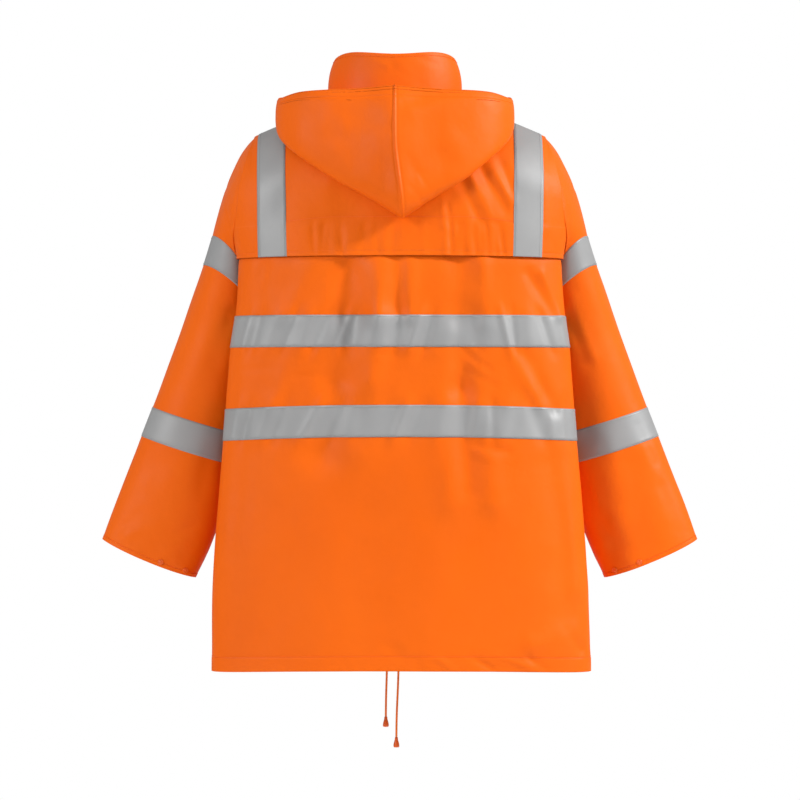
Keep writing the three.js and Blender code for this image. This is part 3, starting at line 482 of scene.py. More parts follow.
FOLD_GAIN, RIPPLE_GAIN, YOKE_GAIN, PUCKER_GAIN = 1.9, 1.6, 1.3, 2.2
UNDER_YOKE = -220.0  # the back panel lies deeper above this height, where the yoke covers it
COVERED_DEPTH = 4.5
YOKE_STAND = 1.3  # how far the yoke stands off below the shoulders


def crease_field(x, z, table):
    """Sum of soft troughs and ridges, uneven along their length."""
    total = np.zeros(np.broadcast(x, z).shape)
    for i, (x0, z0, x1, z1, width, height) in enumerate(table):
        dx, dz = x1 - x0, z1 - z0
        size = dx * dx + dz * dz
        t = ((x - x0) * dx + (z - z0) * dz) / size
        inside = np.clip(t, 0, 1)
        off = np.hypot(x - x0 - inside * dx, z - z0 - inside * dz)
        wide = width * (0.85 + 0.3 * np.sin(2.3 * i + 3.1 * inside) ** 2)
        run = 0.72 + 0.28 * np.sin(1.7 * i + 4.0 * inside)
        total += height * run * np.exp(-((off / wide) ** 2))
    return total


def band_field(x, z, top, ripples):
    """Ripples of one band, fading out softly above and below it."""
    inside = np.clip((top - z) / TAPE_WIDTH, -0.6, 1.6)
    over = np.maximum(z - top, top - TAPE_WIDTH - z)
    fade = np.exp(-(np.maximum(0, over) / 16) ** 2)
    total = np.zeros(np.broadcast(x, z).shape)
    for high, low, width, height in ripples:
        total += height * np.exp(-(((x - mix(high, low, inside)) / width) ** 2))
    return RIPPLE_GAIN * total * fade


def rough_field(x, z, size, seed):
    """Faint unevenness of hanging cloth: a few long waves of fixed, uneven directions."""
    total = np.zeros(np.broadcast(x, z).shape)
    for k in range(7):
        angle = 0.9 * k + 1.3 * seed
        pitch = size * (0.55 + 0.16 * k)
        phase = 2.4 * k + 0.7 * seed
        total += np.sin((x * np.cos(angle) + 0.55 * z * np.sin(angle)) * 2 * np.pi / pitch + phase)
    return total / 7


def back_fold(points):
    x, z = points[..., 0], points[..., 2]
    open_cloth = smooth((UNDER_YOKE - z) / 30)
    total = (FOLD_GAIN * crease_field(x, z, BACK_CREASES) + band_field(x, z, CHEST_TAPE_TOP, CHEST_RIPPLES)
             + band_field(x, z, WAIST_TAPE_TOP, WAIST_RIPPLES) + rough_field(x, z, 150, 1)
             + 0.3 * rough_field(x, z, 40, 5))
    return open_cloth * total - COVERED_DEPTH * (1 - open_cloth)


def yoke_fold(points):
    x, z = points[..., 0], points[..., 2]
    puckers = [(at + lean, PUCKER_TOP - 4, at, PUCKER_LOW + 6, width, height)
               for at, lean, width, height in PUCKERS]
    body = smooth((-60 - z) / 60) * smooth((250 - np.abs(x)) / 30)
    creases = YOKE_GAIN * crease_field(x, z, YOKE_CREASES)
    return (body * (YOKE_STAND + creases + PUCKER_GAIN * crease_field(x, z, puckers))
            + 0.7 * rough_field(x, z, 120, 2))


def front_fold(points):
    x, z = points[..., 0], points[..., 2]
    away = smooth((np.abs(x - CLOSURE_X) - 16) / 50)
    total = crease_field(x, z, FRONT_CREASES) + 1.2 * rough_field(x, z, 160, 3)
    return away * total + 0.15 * rough_field(x, z, 40, 6)


# Meshes
def run_lengths(grid, axis):
    return np.linalg.norm(np.diff(grid, axis=axis), axis=-1).sum(axis)


def declare_sheet(grid, closed):
    """Works out the cut of one cloth piece: its widest row, its longest column and its flat area; the values
    are not passed on.
    """
    if closed:
        grid = np.concatenate([grid, grid[:, :1]], 1)
    width = run_lengths(grid, 1).max() * MM
    length = run_lengths(grid, 0).max() * MM
    one, two = grid[1:, 1:] - grid[:-1, :-1], grid[1:, :-1] - grid[:-1, 1:]
    area = np.linalg.norm(np.cross(one, two), axis=-1).sum() / 2 * MM * MM
    area = float(min(area, width * length))


def sheet_mesh(name, outer, normals, thickness, finish, closed=False, flip=False):
    """A thin shell from a grid of outer points (rows by columns, mm) and normals: two skins and rims."""
    rows, columns = outer.shape[:2]
    inner = outer - normals * thickness
    points = np.concatenate([outer.reshape(-1, 3), inner.reshape(-1, 3)]) * MM
    i = np.arange(rows - 1)[:, None]
    wrap = columns if closed else columns - 1
    j = np.arange(wrap)[None, :]
    k = (j + 1) % columns
    e = rows * columns
    a, b = (i * columns + j).ravel(), (i * columns + k).ravel()
    c, d = b + columns, a + columns
    skin = np.stack([a, b, c, d], -1)
    back = np.stack([a, d, c, b], -1) + e
    j1 = np.arange(wrap)
    k1 = (j1 + 1) % columns
    top = (rows - 1) * columns
    faces = [skin, back, np.stack([j1, j1 + e, k1 + e, k1], -1),
             np.stack([top + j1, top + k1, top + k1 + e, top + j1 + e], -1)]
    if not closed:
        r = np.arange(rows - 1) * columns
        faces.append(np.stack([r, r + columns, r + columns + e, r + e], -1))
        r = r + columns - 1
        faces.append(np.stack([r, r + e, r + columns + e, r + columns], -1))
    faces = np.concatenate(faces)
    if flip:
        faces = faces[:, ::-1]
    mesh = bpy.data.meshes.new(name)
    mesh.vertices.add(len(points))
    mesh.vertices.foreach_set("co", points.ravel())
    mesh.loops.add(faces.size)
    mesh.loops.foreach_set("vertex_index", faces.ravel())
    mesh.polygons.add(len(faces))
    mesh.polygons.foreach_set("loop_start", np.arange(0, faces.size, 4))
    mesh.update(calc_edges=True)
    # the map gives each point its place across and along the cloth, in metres
    across = np.zeros((rows, columns))
    across[:, 1:] = np.cumsum(np.linalg.norm(np.diff(outer, axis=1), axis=-1), axis=1)
    length = np.zeros((rows, columns))
    length[1:] = np.cumsum(np.linalg.norm(np.diff(outer, axis=0), axis=-1), axis=0)
    flat = np.stack([across.mean(0)[None, :].repeat(rows, 0), length.mean(1)[:, None].repeat(columns, 1)], -1)
    flat = np.concatenate([flat.reshape(-1, 2)] * 2) * MM
    layer = mesh.uv_layers.new(name="map")
    layer.data.foreach_set("uv", flat[faces.ravel()].ravel())
    soft_faces = np.ones(len(faces), bool)
    soft_faces[2 * len(skin):] = False
    mesh.polygons.foreach_set("use_smooth", soft_faces)
    mesh.validate()
    made = bpy.data.objects.new(name, mesh)
    mesh.materials.append(finish)
    scene.collection.objects.link(made)
    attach(made, "jacket")
    declare_sheet(outer, closed)
    return made


def grid_normals(grid):
    i, j = (np.arange(size) for size in grid.shape[:2])
    up = grid[np.minimum(i + 1, i[-1])] - grid[np.maximum(i - 1, 0)]
    across = grid[:, np.minimum(j + 1, j[-1])] - grid[:, np.maximum(j - 1, 0)]
    return unit(np.cross(across, up))


class Skin:
    """A folded surface: base points and normals from a function of two parameters, moved out by a fold."""

    def __init__(self, point, normal, fold):
        self.point, self.normal, self.fold = point, normal, fold

    def at(self, a, b, lift=0.0):
        base = self.point(a, b)
        normal = self.normal(a, b)
        return base + normal * (self.fold(base) + lift)[..., None], normal


body_back = Skin(body_point, body_normal, back_fold)
body_yoke = Skin(body_point, body_normal, yoke_fold)
body_front = Skin(body_point, body_normal, front_fold)


PANEL_EDGE = 4.6  # from the zip's middle to the edge of a front or of the collar


def back_grid(levels, columns, gap):
    """Turns and levels of the back, from the wearer's left edge over the middle to the right one."""
    levels = np.asarray(levels, float)
    places = np.linspace(1, -1, columns)
    turns = column_turns(np.abs(places), True, levels, 0.0, gap) * np.sign(places)
    return turns, np.broadcast_to(levels[:, None], turns.shape)


def front_grid(levels, columns, gap, side, edge=PANEL_EDGE):
    levels = np.asarray(levels, float)
    half = body_value(AHEAD, levels)[:, None]
    inner = np.arcsin((edge / half) ** (FRONT_ROUNDNESS / 2))
    places = np.linspace(0, 1, columns)
    if side < 0:
        places = places[::-1]
    turns = column_turns(places, False, levels, inner, gap) * side
    return turns, np.broadcast_to(levels[:, None], turns.shape)


def levels_between(low, high, step):
    count = max(2, int(round(abs(high - low) / step)) + 1)
    return np.linspace(low, high, count)


def rise_levels(low, high, step):
    return rise_level(np.linspace(low, high, max(2, int(round(abs(high - low) / step)) + 1)))


SEAM = 0.4
BACK_COLUMNS, YOKE_COLUMNS, FRONT_COLUMNS = 201, 221, 81
HEM_LINE = HEM_Z + 23.0  # the hem's stitching


def hem_step(z, line, depth=0.5):
    """A hem is two layers: it stands a little proud below its stitching, with a fine groove on the line."""
    return depth * smooth((line - z) / 2.0) - 0.35 * np.exp(-(((z - line) / 1.3) ** 2))


def panel(name, skin, turns, levels, lift, finish, thickness=CLOTH, hem=None):
    points, normals = skin.at(turns, levels, lift)
    if hem is not None:
        points = points + normals * hem_step(levels, hem)[..., None]
    return sheet_mesh(name, points, normals, thickness, finish)


lower = np.concatenate([
    levels_between(HEM_Z, HEM_Z + 26, 1.6), levels_between(HEM_Z + 31, UNDERARM_Z, 5.0)])
back_levels = np.concatenate([lower, rise_levels(3, YOKE_SEAM_RISE, 3.0)])
turns, levels = back_grid(back_levels, BACK_COLUMNS, SEAM)
made = panel("back_panel_cloth", body_back, turns, levels, 0.0, SHELL, hem=HEM_LINE)
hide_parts("back_panel")

yoke_levels = np.concatenate([rise_levels(YOKE_EDGE_RISE, 50, 1.4), rise_levels(52, 180, 2.4)])
turns, levels = back_grid(yoke_levels, YOKE_COLUMNS, SEAM)
YOKE_OUT = YOKE_LIFT + CLOTH
YOKE_LINES = (6.5, 3.0)  # stitching, from the free edge


def yoke_groove(turns, levels):
    """Grooves of the stitching near the free edge and above the puckers, with fuller cloth below that."""
    at = body_point(turns, levels)[..., 2]
    edge = body_point(turns, np.full_like(levels, rise_level(YOKE_EDGE_RISE)))[..., 2]
    near = at - edge
    edge_groove = -0.4 * np.exp(-(((near - YOKE_LINES[0]) / 1.2) ** 2))
    pucker_groove = -0.5 * np.exp(-(((at - PUCKER_TOP) / 1.3) ** 2))
    return edge_groove + pucker_groove + 0.5 * smooth((PUCKER_TOP - at) / 2.0)


points, normals = body_yoke.at(turns, levels, YOKE_OUT)
points = points + normals * yoke_groove(turns, levels)[..., None]
yoke_cloth = sheet_mesh("back_yoke_cloth", points, normals, CLOTH, SHELL)
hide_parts("back_yoke")

SIDES = (("left", 1), ("right", -1))
front_levels = np.concatenate([lower, rise_levels(3, 180, 2.4)])
for side_name, side in SIDES:
    turns, levels = front_grid(front_levels, FRONT_COLUMNS, SEAM, side)
    made = panel(f"front_{side_name}_cloth", body_front, turns, levels, 0.0, SHELL, hem=HEM_LINE)
    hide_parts(f"front_{side_name}")

# Reflective bands on the body
TAPE_THICK, TAPE_LIFT = 0.45, 0.6
BAND_LIFT = 0.9  # the body's bands stand off further, over its deep folds
BACK_BAND_COLUMNS, FRONT_BAND_COLUMNS = 331, 121
tapes = []
for band, top in (("chest", CHEST_TAPE_TOP), ("waist", WAIST_TAPE_TOP)):
    band_levels = levels_between(top - TAPE_WIDTH, top, 4.0)
    stretches = [("back", body_back, back_grid(band_levels, BACK_BAND_COLUMNS, SEAM))]
    stretches += [(f"front_{side_name}", body_front, front_grid(band_levels, FRONT_BAND_COLUMNS, SEAM, side))
                  for side_name, side in SIDES]
    for part, skin, (turns, levels) in stretches:
        made = panel(f"{band}_band_{part}", skin, turns, levels, BAND_LIFT, TAPE_FINISH,
                     TAPE_THICK)
        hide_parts(f"{band}_tape_{part}")
        tapes.append((skin, turns, levels))

# Shoulder tapes: over the yoke, across the shoulder seam and down the front to the chest band.
TAPE_HALF, TAPE_BACK_LOW, TAPE_TOP_X, TAPE_FRONT_MID, TAPE_FRONT_LOW = 22.5, 197.0, 203.0, 172.0, 163.0
TAPE_COLUMNS = 13


def over_shoulder(turns, levels, lift):
    """Points over back, shoulder and front, with the yoke's own folds behind and the front's before."""
    base = body_point(turns, levels)
    normal = body_normal(turns, levels)
    is_back = np.cos(turns) >= 0
    front_step = YOKE_OUT * np.clip((levels - rise_level(120)) / 20, 0, 1)
    fold = np.where(is_back, yoke_fold(base) + YOKE_OUT, front_fold(base) + front_step)
    blend = smooth((levels - rise_level(140)) / (TIP_Z - rise_level(140)))
    fold = mix(fold, 0.4 + YOKE_OUT, blend)
    upright = 0.6 * blend[..., None] ** 4
    normal = unit(normal * (1 - upright) + np.array([0, 0, 1.0]) * upright)
    return base + normal * (fold + lift)[..., None], normal


def tape_row(level, middle, is_back, side):
    """Turns and levels of one row across a shoulder tape."""
    x = middle + np.linspace(1, -1, TAPE_COLUMNS) * side * TAPE_HALF
    return turn_at_x(x, level, is_back) * side, np.full(TAPE_COLUMNS, level)


shoulder_paths = []
for side_name, side in SIDES:
    rows = [tape_row(float(rise_level(rise)), mix(TAPE_BACK_LOW, TAPE_TOP_X, rise / 180), True, side)
            for rise in np.linspace(YOKE_EDGE_RISE, 180, 70)]
    rows += [tape_row(float(rise_level(rise)), mix(TAPE_FRONT_MID, TAPE_TOP_X, smooth((rise - 60) / 120)),
                      False, side) for rise in np.linspace(178, 0, 70)]
    rows += [tape_row(level, mix(TAPE_FRONT_MID, TAPE_FRONT_LOW, smooth((UNDERARM_Z - level) / 44)),
                      False, side) for level in np.linspace(rise_level(0) - 4, CHEST_TAPE_TOP, 20)]
    turns, levels = (np.array(values) for values in zip(*rows))
    points, normals = over_shoulder(turns, levels, TAPE_LIFT)
    made = sheet_mesh(f"shoulder_band_{side_name}", points, normals, TAPE_THICK, TAPE_FINISH)
    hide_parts(f"shoulder_tape_{side_name}")
    shoulder_paths.append((turns, levels))

# Sleeves
OUT_X, OUT_Z, IN_X, IN_Z, MID_Y, DEEP, BOW = range(7)
RINGS = np.array([
    (303, -197, 240, -262, -36, 79, 13),
    (318, -243, 235, -306, -41, 75, 11),
    (335, -292, 235, -346, -45, 71, 8),
    (355, -349, 240, -396, -48, 66, 4),
    (378, -412, 254, -455, -49, 61, 0),
    (400, -471, 268, -513, -48, 56, -1),
    (418, -518, 277, -563, -46, 52, -1),
    (440, -575, 285, -632, -43, 47, -2),
    (460, -627, 304, -690, -39, 43, -3),
    (480, -684, 330, -746, -35, 38, -4),
], float)
SLEEVE_ROUNDNESS = 2.15
LAST_RING = len(RINGS) - 1
TUCK = 1.2  # the sleeve starts this far inside the armhole's edge


def armhole_point(angle):
    is_back = np.sin(angle) >= 0
    level = mix(UNDERARM_Z, TIP_Z, (1 + np.cos(angle)) / 2)
    return body_point(edge_turn(is_back, level), level)


def sleeve_point(angle, ring):
    angle, ring = np.broadcast_arrays(np.asarray(angle, float), np.asarray(ring, float))
    exponent = 2 / SLEEVE_ROUNDNESS
    value = along(RINGS, np.maximum(ring, 0))
    c, s = power(np.cos(angle), exponent), power(np.sin(angle), exponent)
    x = mix(value[..., IN_X], value[..., OUT_X], (1 + c) / 2)
    z = mix(value[..., IN_Z], value[..., OUT_Z], (1 + c) / 2) + value[..., BOW] * s * s
    point = np.stack([x, value[..., MID_Y] + value[..., DEEP] * s, z], -1)
    start = armhole_point(angle)
    middle = np.array([240, (ARM_BACK_Y + ARM_FRONT_Y) / 2, (TIP_Z + UNDERARM_Z) / 2])
    inward = (middle - start) * np.array([0, 1, 1])
    low_back = np.sqrt(np.maximum(0, np.sin(angle))) * np.maximum(0, -np.cos(angle))
    start = start - unit(inward) * TUCK
    start[..., 0] += -1.0 + 2.0 * low_back
    up = np.maximum(0, np.cos(angle)) ** 1.5
    bulge = np.stack([6 + 12 * low_back, 11 * np.sin(angle), 6 + 42 * up], -1)
    control = (start + point) / 2 + bulge
    t = (ring + 1)[..., None]
    cap = start * (1 - t) ** 2 + control * 2 * t * (1 - t) + point * t * t
    return np.where((ring >= 0)[..., None], point, cap)


def sleeve_normal(angle, ring):
    step = 0.12
    around = sleeve_point(angle + step, ring) - sleeve_point(angle - step, ring)
    below, above = np.minimum(ring + step, LAST_RING), np.maximum(ring - step, -1)
    return unit(np.cross(sleeve_point(angle, below) - sleeve_point(angle, above), around))


# Creases of the sleeves, from behind, with x counted outwards from the middle plane.
RIGHT_SLEEVE_CREASES = [
    (262, -60, 268, -170, 9, -2.4), (268, -330, 300, -400, 10, -3.0), (276, -300, 306, -390, 9, 2.2),
    (286, -400, 300, -520, 16, -2.6), (330, -520, 352, -650, 22, 2.8), (352, -650, 372, -716, 20, 2.0),
    (300, -600, 344, -700, 14, -2.6), (292, -560, 322, -640, 12, 2.0), (400, -540, 436, -650, 20, 2.2),
    (370, -560, 392, -690, 16, -2.0), (382, -500, 410, -560, 8, -1.6), (300, -260, 330, -330, 16, 1.6),
    (420, -600, 446, -668, 10, -1.6), (330, -690, 372, -724, 10, 1.6), (318, -470, 330, -560, 14, -1.6),
]
LEFT_SLEEVE_CREASES = [
    (264, -60, 270, -180, 9, -2.4), (268, -320, 296, -400, 12, -3.0), (300, -300, 330, -420, 18, 1.8),
    (292, -480, 316, -600, 16, -2.2), (340, -560, 360, -640, 24, 1.8), (392, -560, 420, -660, 24, -1.8),
    (396, -660, 440, -676, 10, 1.8), (350, -690, 384, -716, 12, 1.4), (330, -660, 388, -690, 10, -1.2),
    (360, -716, 340, -736, 6, 1.2), (420, -640, 452, -672, 8, -1.4),
]


def sleeve_fold(table, seed):
    def fold(base):
        x, y, z = base[..., 0], base[..., 1], base[..., 2]
        behind = 0.5 + 0.5 * np.tanh((y + 30) / 14)
        back = crease_field(x, z, table)
        front = crease_field(x + 10, z + 24, table)
        cap = mix(0.35, 1.0, smooth((-150 - z) / 40))
        total = mix(0.7 * front, back, behind) * cap + 0.9 * rough_field(x + y, z, 110, seed)
        return total * smooth((x - 236) / 26)
    return fold


CUFF_LINE = 8.89  # the cuff's stitching, in rings
ARM_SEAM = -0.36  # the seam round the upper arm above the tape, in rings
SLEEVE_COLUMNS, SLEEVE_BAND_COLUMNS = 144, 180


def ring_grid(rows, columns):
    return np.broadcast_arrays(np.linspace(0, 2 * np.pi, columns + 1)[:-1][None, :], rows[:, None])


ring_rows = np.concatenate([
    np.linspace(-1, 0, 26), np.linspace(0, 8.4, 150)[1:], np.linspace(8.4, 8.8, 6)[1:],
    np.linspace(8.8, LAST_RING, 24)[1:]])
sleeve_skins = {}
for (side_name, side), table, seed in zip(SIDES, (LEFT_SLEEVE_CREASES, RIGHT_SLEEVE_CREASES), (4, 8)):
    skin = Skin(sleeve_point, sleeve_normal, sleeve_fold(table, seed))
    sleeve_skins[side_name] = (skin, side)
    mirror = np.array([side, 1, 1.0])
    a, r = ring_grid(ring_rows, SLEEVE_COLUMNS)
    points, normals = skin.at(a, r)
    lift = 0.45 * smooth((r - CUFF_LINE) / 0.02) - 0.35 * np.exp(-(((r - CUFF_LINE) / 0.015) ** 2))
    lift = lift - 0.6 * np.exp(-(((r - ARM_SEAM) / 0.02) ** 2)) * (r < 0)
    points = points + normals * lift[..., None]
    made = sheet_mesh(f"sleeve_{side_name}_cloth", points * mirror, normals * mirror, CLOTH, SHELL,
                      closed=True, flip=side > 0)
    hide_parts(f"sleeve_{side_name}")
    for tape_name, first, last in (("upper", 0.0, 1.0), ("lower", 5.0, 6.0)):
        points, normals = skin.at(*ring_grid(np.linspace(first, last, 15), SLEEVE_BAND_COLUMNS), TAPE_LIFT)
        made = sheet_mesh(f"sleeve_band_{tape_name}_{side_name}", points * mirror, normals * mirror,
                          TAPE_THICK, TAPE_FINISH, closed=True, flip=side > 0)
        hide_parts(f"sleeve_tape_{tape_name}_{side_name}")

# Collar
COLLAR_WALL, COLLAR_TOP, COLLAR_BACK_DIP, COLLAR_FRONT_DROP, COLLAR_TOP_HALF = 2.2, 92.0, 6.0, 40.0, 97.0
COLLAR_CORNER = 7.0  # how far the top edge drops at the sides
COLLAR_STITCH = 0.93  # the line under the top edge, as a share of the collar's height


def collar_point(turn, rise):
    turn, rise = np.broadcast_arrays(np.asarray(turn, float), np.asarray(rise, float))
    s = np.sin(turn)
    half = NECK_HALF + 2 * np.sin(np.pi * rise) - (NECK_HALF - COLLAR_TOP_HALF) * np.abs(rise) ** 3
    deep = np.where(s > 0, NECK_BACK - 6 * rise**2, NECK_FRONT - 3 * rise**2)
    ahead, behind = np.maximum(0, -s), np.maximum(0, s)
    low = NECK_Z - NECK_DROP * ahead**1.6 + mix(0.9, 2.6, smooth(s + 0.8))
    corner = COLLAR_CORNER * np.abs(np.cos(turn)) ** 8
    high = COLLAR_TOP - COLLAR_BACK_DIP * behind**6 - COLLAR_FRONT_DROP * ahead**1.5 - corner
    return np.stack([NECK_X + half * np.cos(turn), NECK_Y + deep * s, mix(low, high, rise)], -1)


def collar_normal(turn, rise):
    around = collar_point(turn + 0.02, rise) - collar_point(turn - 0.02, rise)
    up = collar_point(turn, np.minimum(rise + 0.05, 1)) - collar_point(turn, np.maximum(rise - 0.05, 0))
    return unit(np.cross(around, up))


COLLAR_CREASES = [(-60, 70, -20, 84, 5, -0.8), (20, 66, 56, 80, 6, 0.8), (-30, 40, 10, 62, 7, -0.7)]


def collar_fold(base):
    x, z = base[..., 0], base[..., 2]
    return 0.7 * rough_field(x, z, 60, 9) + crease_field(x, z, COLLAR_CREASES)


collar_skin = Skin(collar_point, collar_normal, collar_fold)
gap = PANEL_EDGE / NECK_HALF
turn = np.linspace(-np.pi / 2 + gap, 1.5 * np.pi - gap, 221)[None, :]
rise = np.concatenate([np.linspace(-0.03, 0.9, 30), np.linspace(0.91, 1, 10)])[:, None]
turn, rise = np.broadcast_arrays(turn, rise)
points, normals = collar_skin.at(turn, rise)
lift = -0.3 * np.exp(-(((rise - COLLAR_STITCH) / 0.012) ** 2)) - 0.3 * smooth((rise - 0.97) / 0.03)
points = points + normals * lift[..., None]
collar_cloth = sheet_mesh("collar_cloth", points, normals, COLLAR_WALL, SHELL)
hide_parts("collar")

# Hood
TURN, INNER, OUTER, LOW_Z, EDGE, EDGE_Z = range(6)
HOOD = np.array([
    (90, 139, 172, -180, 150, 22),
    (74, 143, 171, -152, 154, 21.5),
    (57, 163, 185, -123, 170, 20.5),
    (41, 186, 203, -84, 193, 19),
    (26, 194, 206, -48, 201, 13),
    (8, 170, 184, -2, 178, 21),
    (-18, 146, 156, -14, 148, 10),
    (-42, 118, 128, -28, 120, -4),
    (-64, 99, 108, -34, 101, -17),
], float)
HOOD_CLEAR = 9.0
NECK_CLEAR = 2.1


def skin_depth(x, z, is_back):
    _, top_z = top_line(x, np.full(np.shape(x), is_back))
    share = np.where(z > UNDERARM_Z, np.minimum(1, (z - UNDERARM_Z) / (top_z - UNDERARM_Z)), 0)
    level = np.where(share > 0, mix(UNDERARM_Z, TIP_Z, share), z)
    return body_point(turn_at_x(x, level, is_back), level)[..., 1]


def centripetal(points, count):
    """Evenly spaced points on a centripetal curve through the given ones."""
    points = np.asarray(points, float)
    ends = np.vstack([2 * points[0] - points[1], points, 2 * points[-1] - points[-2]])
    dense = []
    for p0, p1, p2, p3 in zip(ends[:-3], ends[1:-2], ends[2:-1], ends[3:]):
        pairs = ((p0, p1), (p1, p2), (p2, p3))
        d0, d1, d2 = (max(1e-4, np.linalg.norm(q - p) ** 0.5) for p, q in pairs)
        m1 = ((p1 - p0) / d0 - (p2 - p0) / (d0 + d1) + (p2 - p1) / d1) * d1
        m2 = ((p2 - p1) / d1 - (p3 - p1) / (d1 + d2) + (p3 - p2) / d2) * d1
        t = np.linspace(0, 1, 40)[:-1, None]
        dense.append((2 * t**3 - 3 * t**2 + 1) * p1 + (t**3 - 2 * t**2 + t) * m1
                     + (3 * t**2 - 2 * t**3) * p2 + (t**3 - t**2) * m2)
    dense.append(points[-1:])
    dense = np.vstack(dense)
    run = np.concatenate([[0], np.cumsum(np.linalg.norm(np.diff(dense, axis=0), axis=1))])
    even = np.linspace(0, run[-1], count)
    return np.stack([np.interp(even, run, dense[:, k]) for k in range(3)], -1)


def hood_line(place, count):
    value = along(HOOD, np.array(place))
    turn = math.radians(value[TURN])
    neck = collar_point(turn, 0.04)
    reach0 = math.hypot(neck[0] - NECK_X, neck[1] - NECK_Y) + NECK_CLEAR
    inner, outer, low, edge, edge_z = value[INNER], value[OUTER], value[LOW_Z], value[EDGE], value[EDGE_Z]
    z0 = neck[2] + 2
    fold = (outer - inner) * 0.35
    route = [
        (reach0, z0), (mix(reach0, inner, 0.6), mix(z0, low, 0.06) + 1), (inner, mix(z0, low, 0.45)),
        (mix(inner, outer, 0.12), low + fold), (mix(inner, outer, 0.5), low),
        (mix(inner, outer, 0.88), low + fold), (outer, mix(edge_z, low, 0.45)),
        (mix(outer, edge, 0.45), mix(edge_z, low, 0.12)), (edge, edge_z)]
    route = [(NECK_X + r * math.cos(turn), NECK_Y + r * math.sin(turn), z) for r, z in route]
    line = centripetal(route, count)
    for is_back in (True, False):
        x = line[:, 0] - NECK_X
        _, top_z = top_line(x, np.full(x.shape, is_back))
        depth = skin_depth(x, line[:, 2], is_back)
        here = ((line[:, 1] > NECK_Y) == is_back) & (line[:, 2] <= top_z + HOOD_CLEAR)
        if is_back:
            pushed = np.maximum(line[:, 1], depth + HOOD_CLEAR)
        else:
            pushed = np.minimum(line[:, 1], depth - HOOD_CLEAR)
        line[:, 1] = np.where(here, pushed, line[:, 1])
    return line


HOOD_CREASES = {
    "left": [(20, -40, 90, -10, 16, -1.6), (60, -120, 40, -60, 18, 1.4), (110, 0, 120, -40, 14, 1.2),
             (24, -60, 30, -150, 12, -1.4), (90, -60, 130, -30, 14, -1.0)],
    "right": [(-6, -4, -60, 10, 8, -1.6), (-20, -20, -90, 6, 14, 2.0), (-24, -70, -80, -60, 18, 1.6),
              (-10, -90, -30, -140, 9, -1.6), (-20, -120, -34, -150, 6, 1.6), (-90, -40, -130, -20, 14, -1.4),
              (-8, -134, -26, -160, 5, -1.4), (-60, -86, -84, -100, 14, -1.2)],
}
HOOD_LINES, HOOD_FINE = 104, 401
HOOD_KEEL = 8.0  # how far the centre seam stands out as a keel
TIP_SHIFT, TIP_SHIFT_TOP = 11.0, -50.0  # the pouch's tip hangs a little to the wearer's right
HOOD_HEM = 0.958  # the hem's stitching, as a share of the way from the neck to the rim
places = np.linspace(0, 1, HOOD_LINES) ** 1.7 * (len(HOOD) - 1)
run = np.concatenate([np.linspace(0, 0.94, 88)[:-1], np.linspace(0.94, 1, 30)])
lines = np.array([hood_line(p, HOOD_FINE) for p in places])
lines = lines[:, np.round(run * (HOOD_FINE - 1)).astype(int)]
lines[0][:, 0] = NECK_X
# soften the pushed places across the lines
for _ in range(6):
    lines[1:-1, 1:-1, 1] = (lines[:-2, 1:-1, 1] + 2 * lines[1:-1, 1:-1, 1] + lines[2:, 1:-1, 1]) / 4
hood_normals = grid_normals(lines)
hood_normals[0] = unit(hood_normals[0] * np.array([0, 1, 1.0]))
for side_name, side in SIDES:
    mirror = np.array([side, 1, 1.0])
    shift = np.array([NECK_X, 0, 0])
    points = (lines - shift) * mirror + shift
    normals = hood_normals * mirror
    x, z = points[..., 0], points[..., 2]
    rim = run[None, :]
    outside = smooth((rim - 0.5) / 0.12)
    off = np.abs(x - NECK_X)
    seam = 0.9 * np.exp(-((off / 1.3) ** 2)) - 0.6 * np.exp(-(((off - 3.2) / 1.2) ** 2))
    keel = HOOD_KEEL * np.clip(1 - off / 70, 0, 1) ** 1.15
    hem = -0.45 * np.exp(-(((rim - HOOD_HEM) / 0.0032) ** 2)) + 0.4 * smooth((rim - HOOD_HEM) / 0.005)
    lift = outside * (crease_field(x, z, HOOD_CREASES[side_name]) + 0.9 * rough_field(x, z, 90, 3 + side)
                      + seam + keel) + hem
    points = points + normals * lift[..., None]
    points[..., 0] -= TIP_SHIFT * smooth((TIP_SHIFT_TOP - points[..., 2]) / 120)
    made = sheet_mesh(f"hood_{side_name}_cloth", points, normals, CLOTH, SHELL, flip=side < 0)
    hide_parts(f"hood_{side_name}")

# Closure
NECK_FRONT_Z = NECK_Z - NECK_DROP
COLLAR_FRONT_TOP = COLLAR_TOP - COLLAR_FRONT_DROP


def closure_point(z, reach):
    z, reach = np.broadcast_arrays(np.asarray(z, float), np.asarray(reach, float))
    rise = (z - NECK_FRONT_Z) / (COLLAR_FRONT_TOP - NECK_FRONT_Z)
    high = collar_point(-np.pi / 2 + reach / NECK_HALF, np.clip(rise, 0, 1))
    high[..., 2] = z
    share = np.clip((z - UNDERARM_Z) / (NECK_FRONT_Z - UNDERARM_Z), 0, 1)
    level = np.where(share > 0, mix(UNDERARM_Z, TIP_Z, share), z)
    low = body_point(turn_at_x(reach, level, False), level)
    return np.where((z > NECK_FRONT_Z)[..., None], high, low)


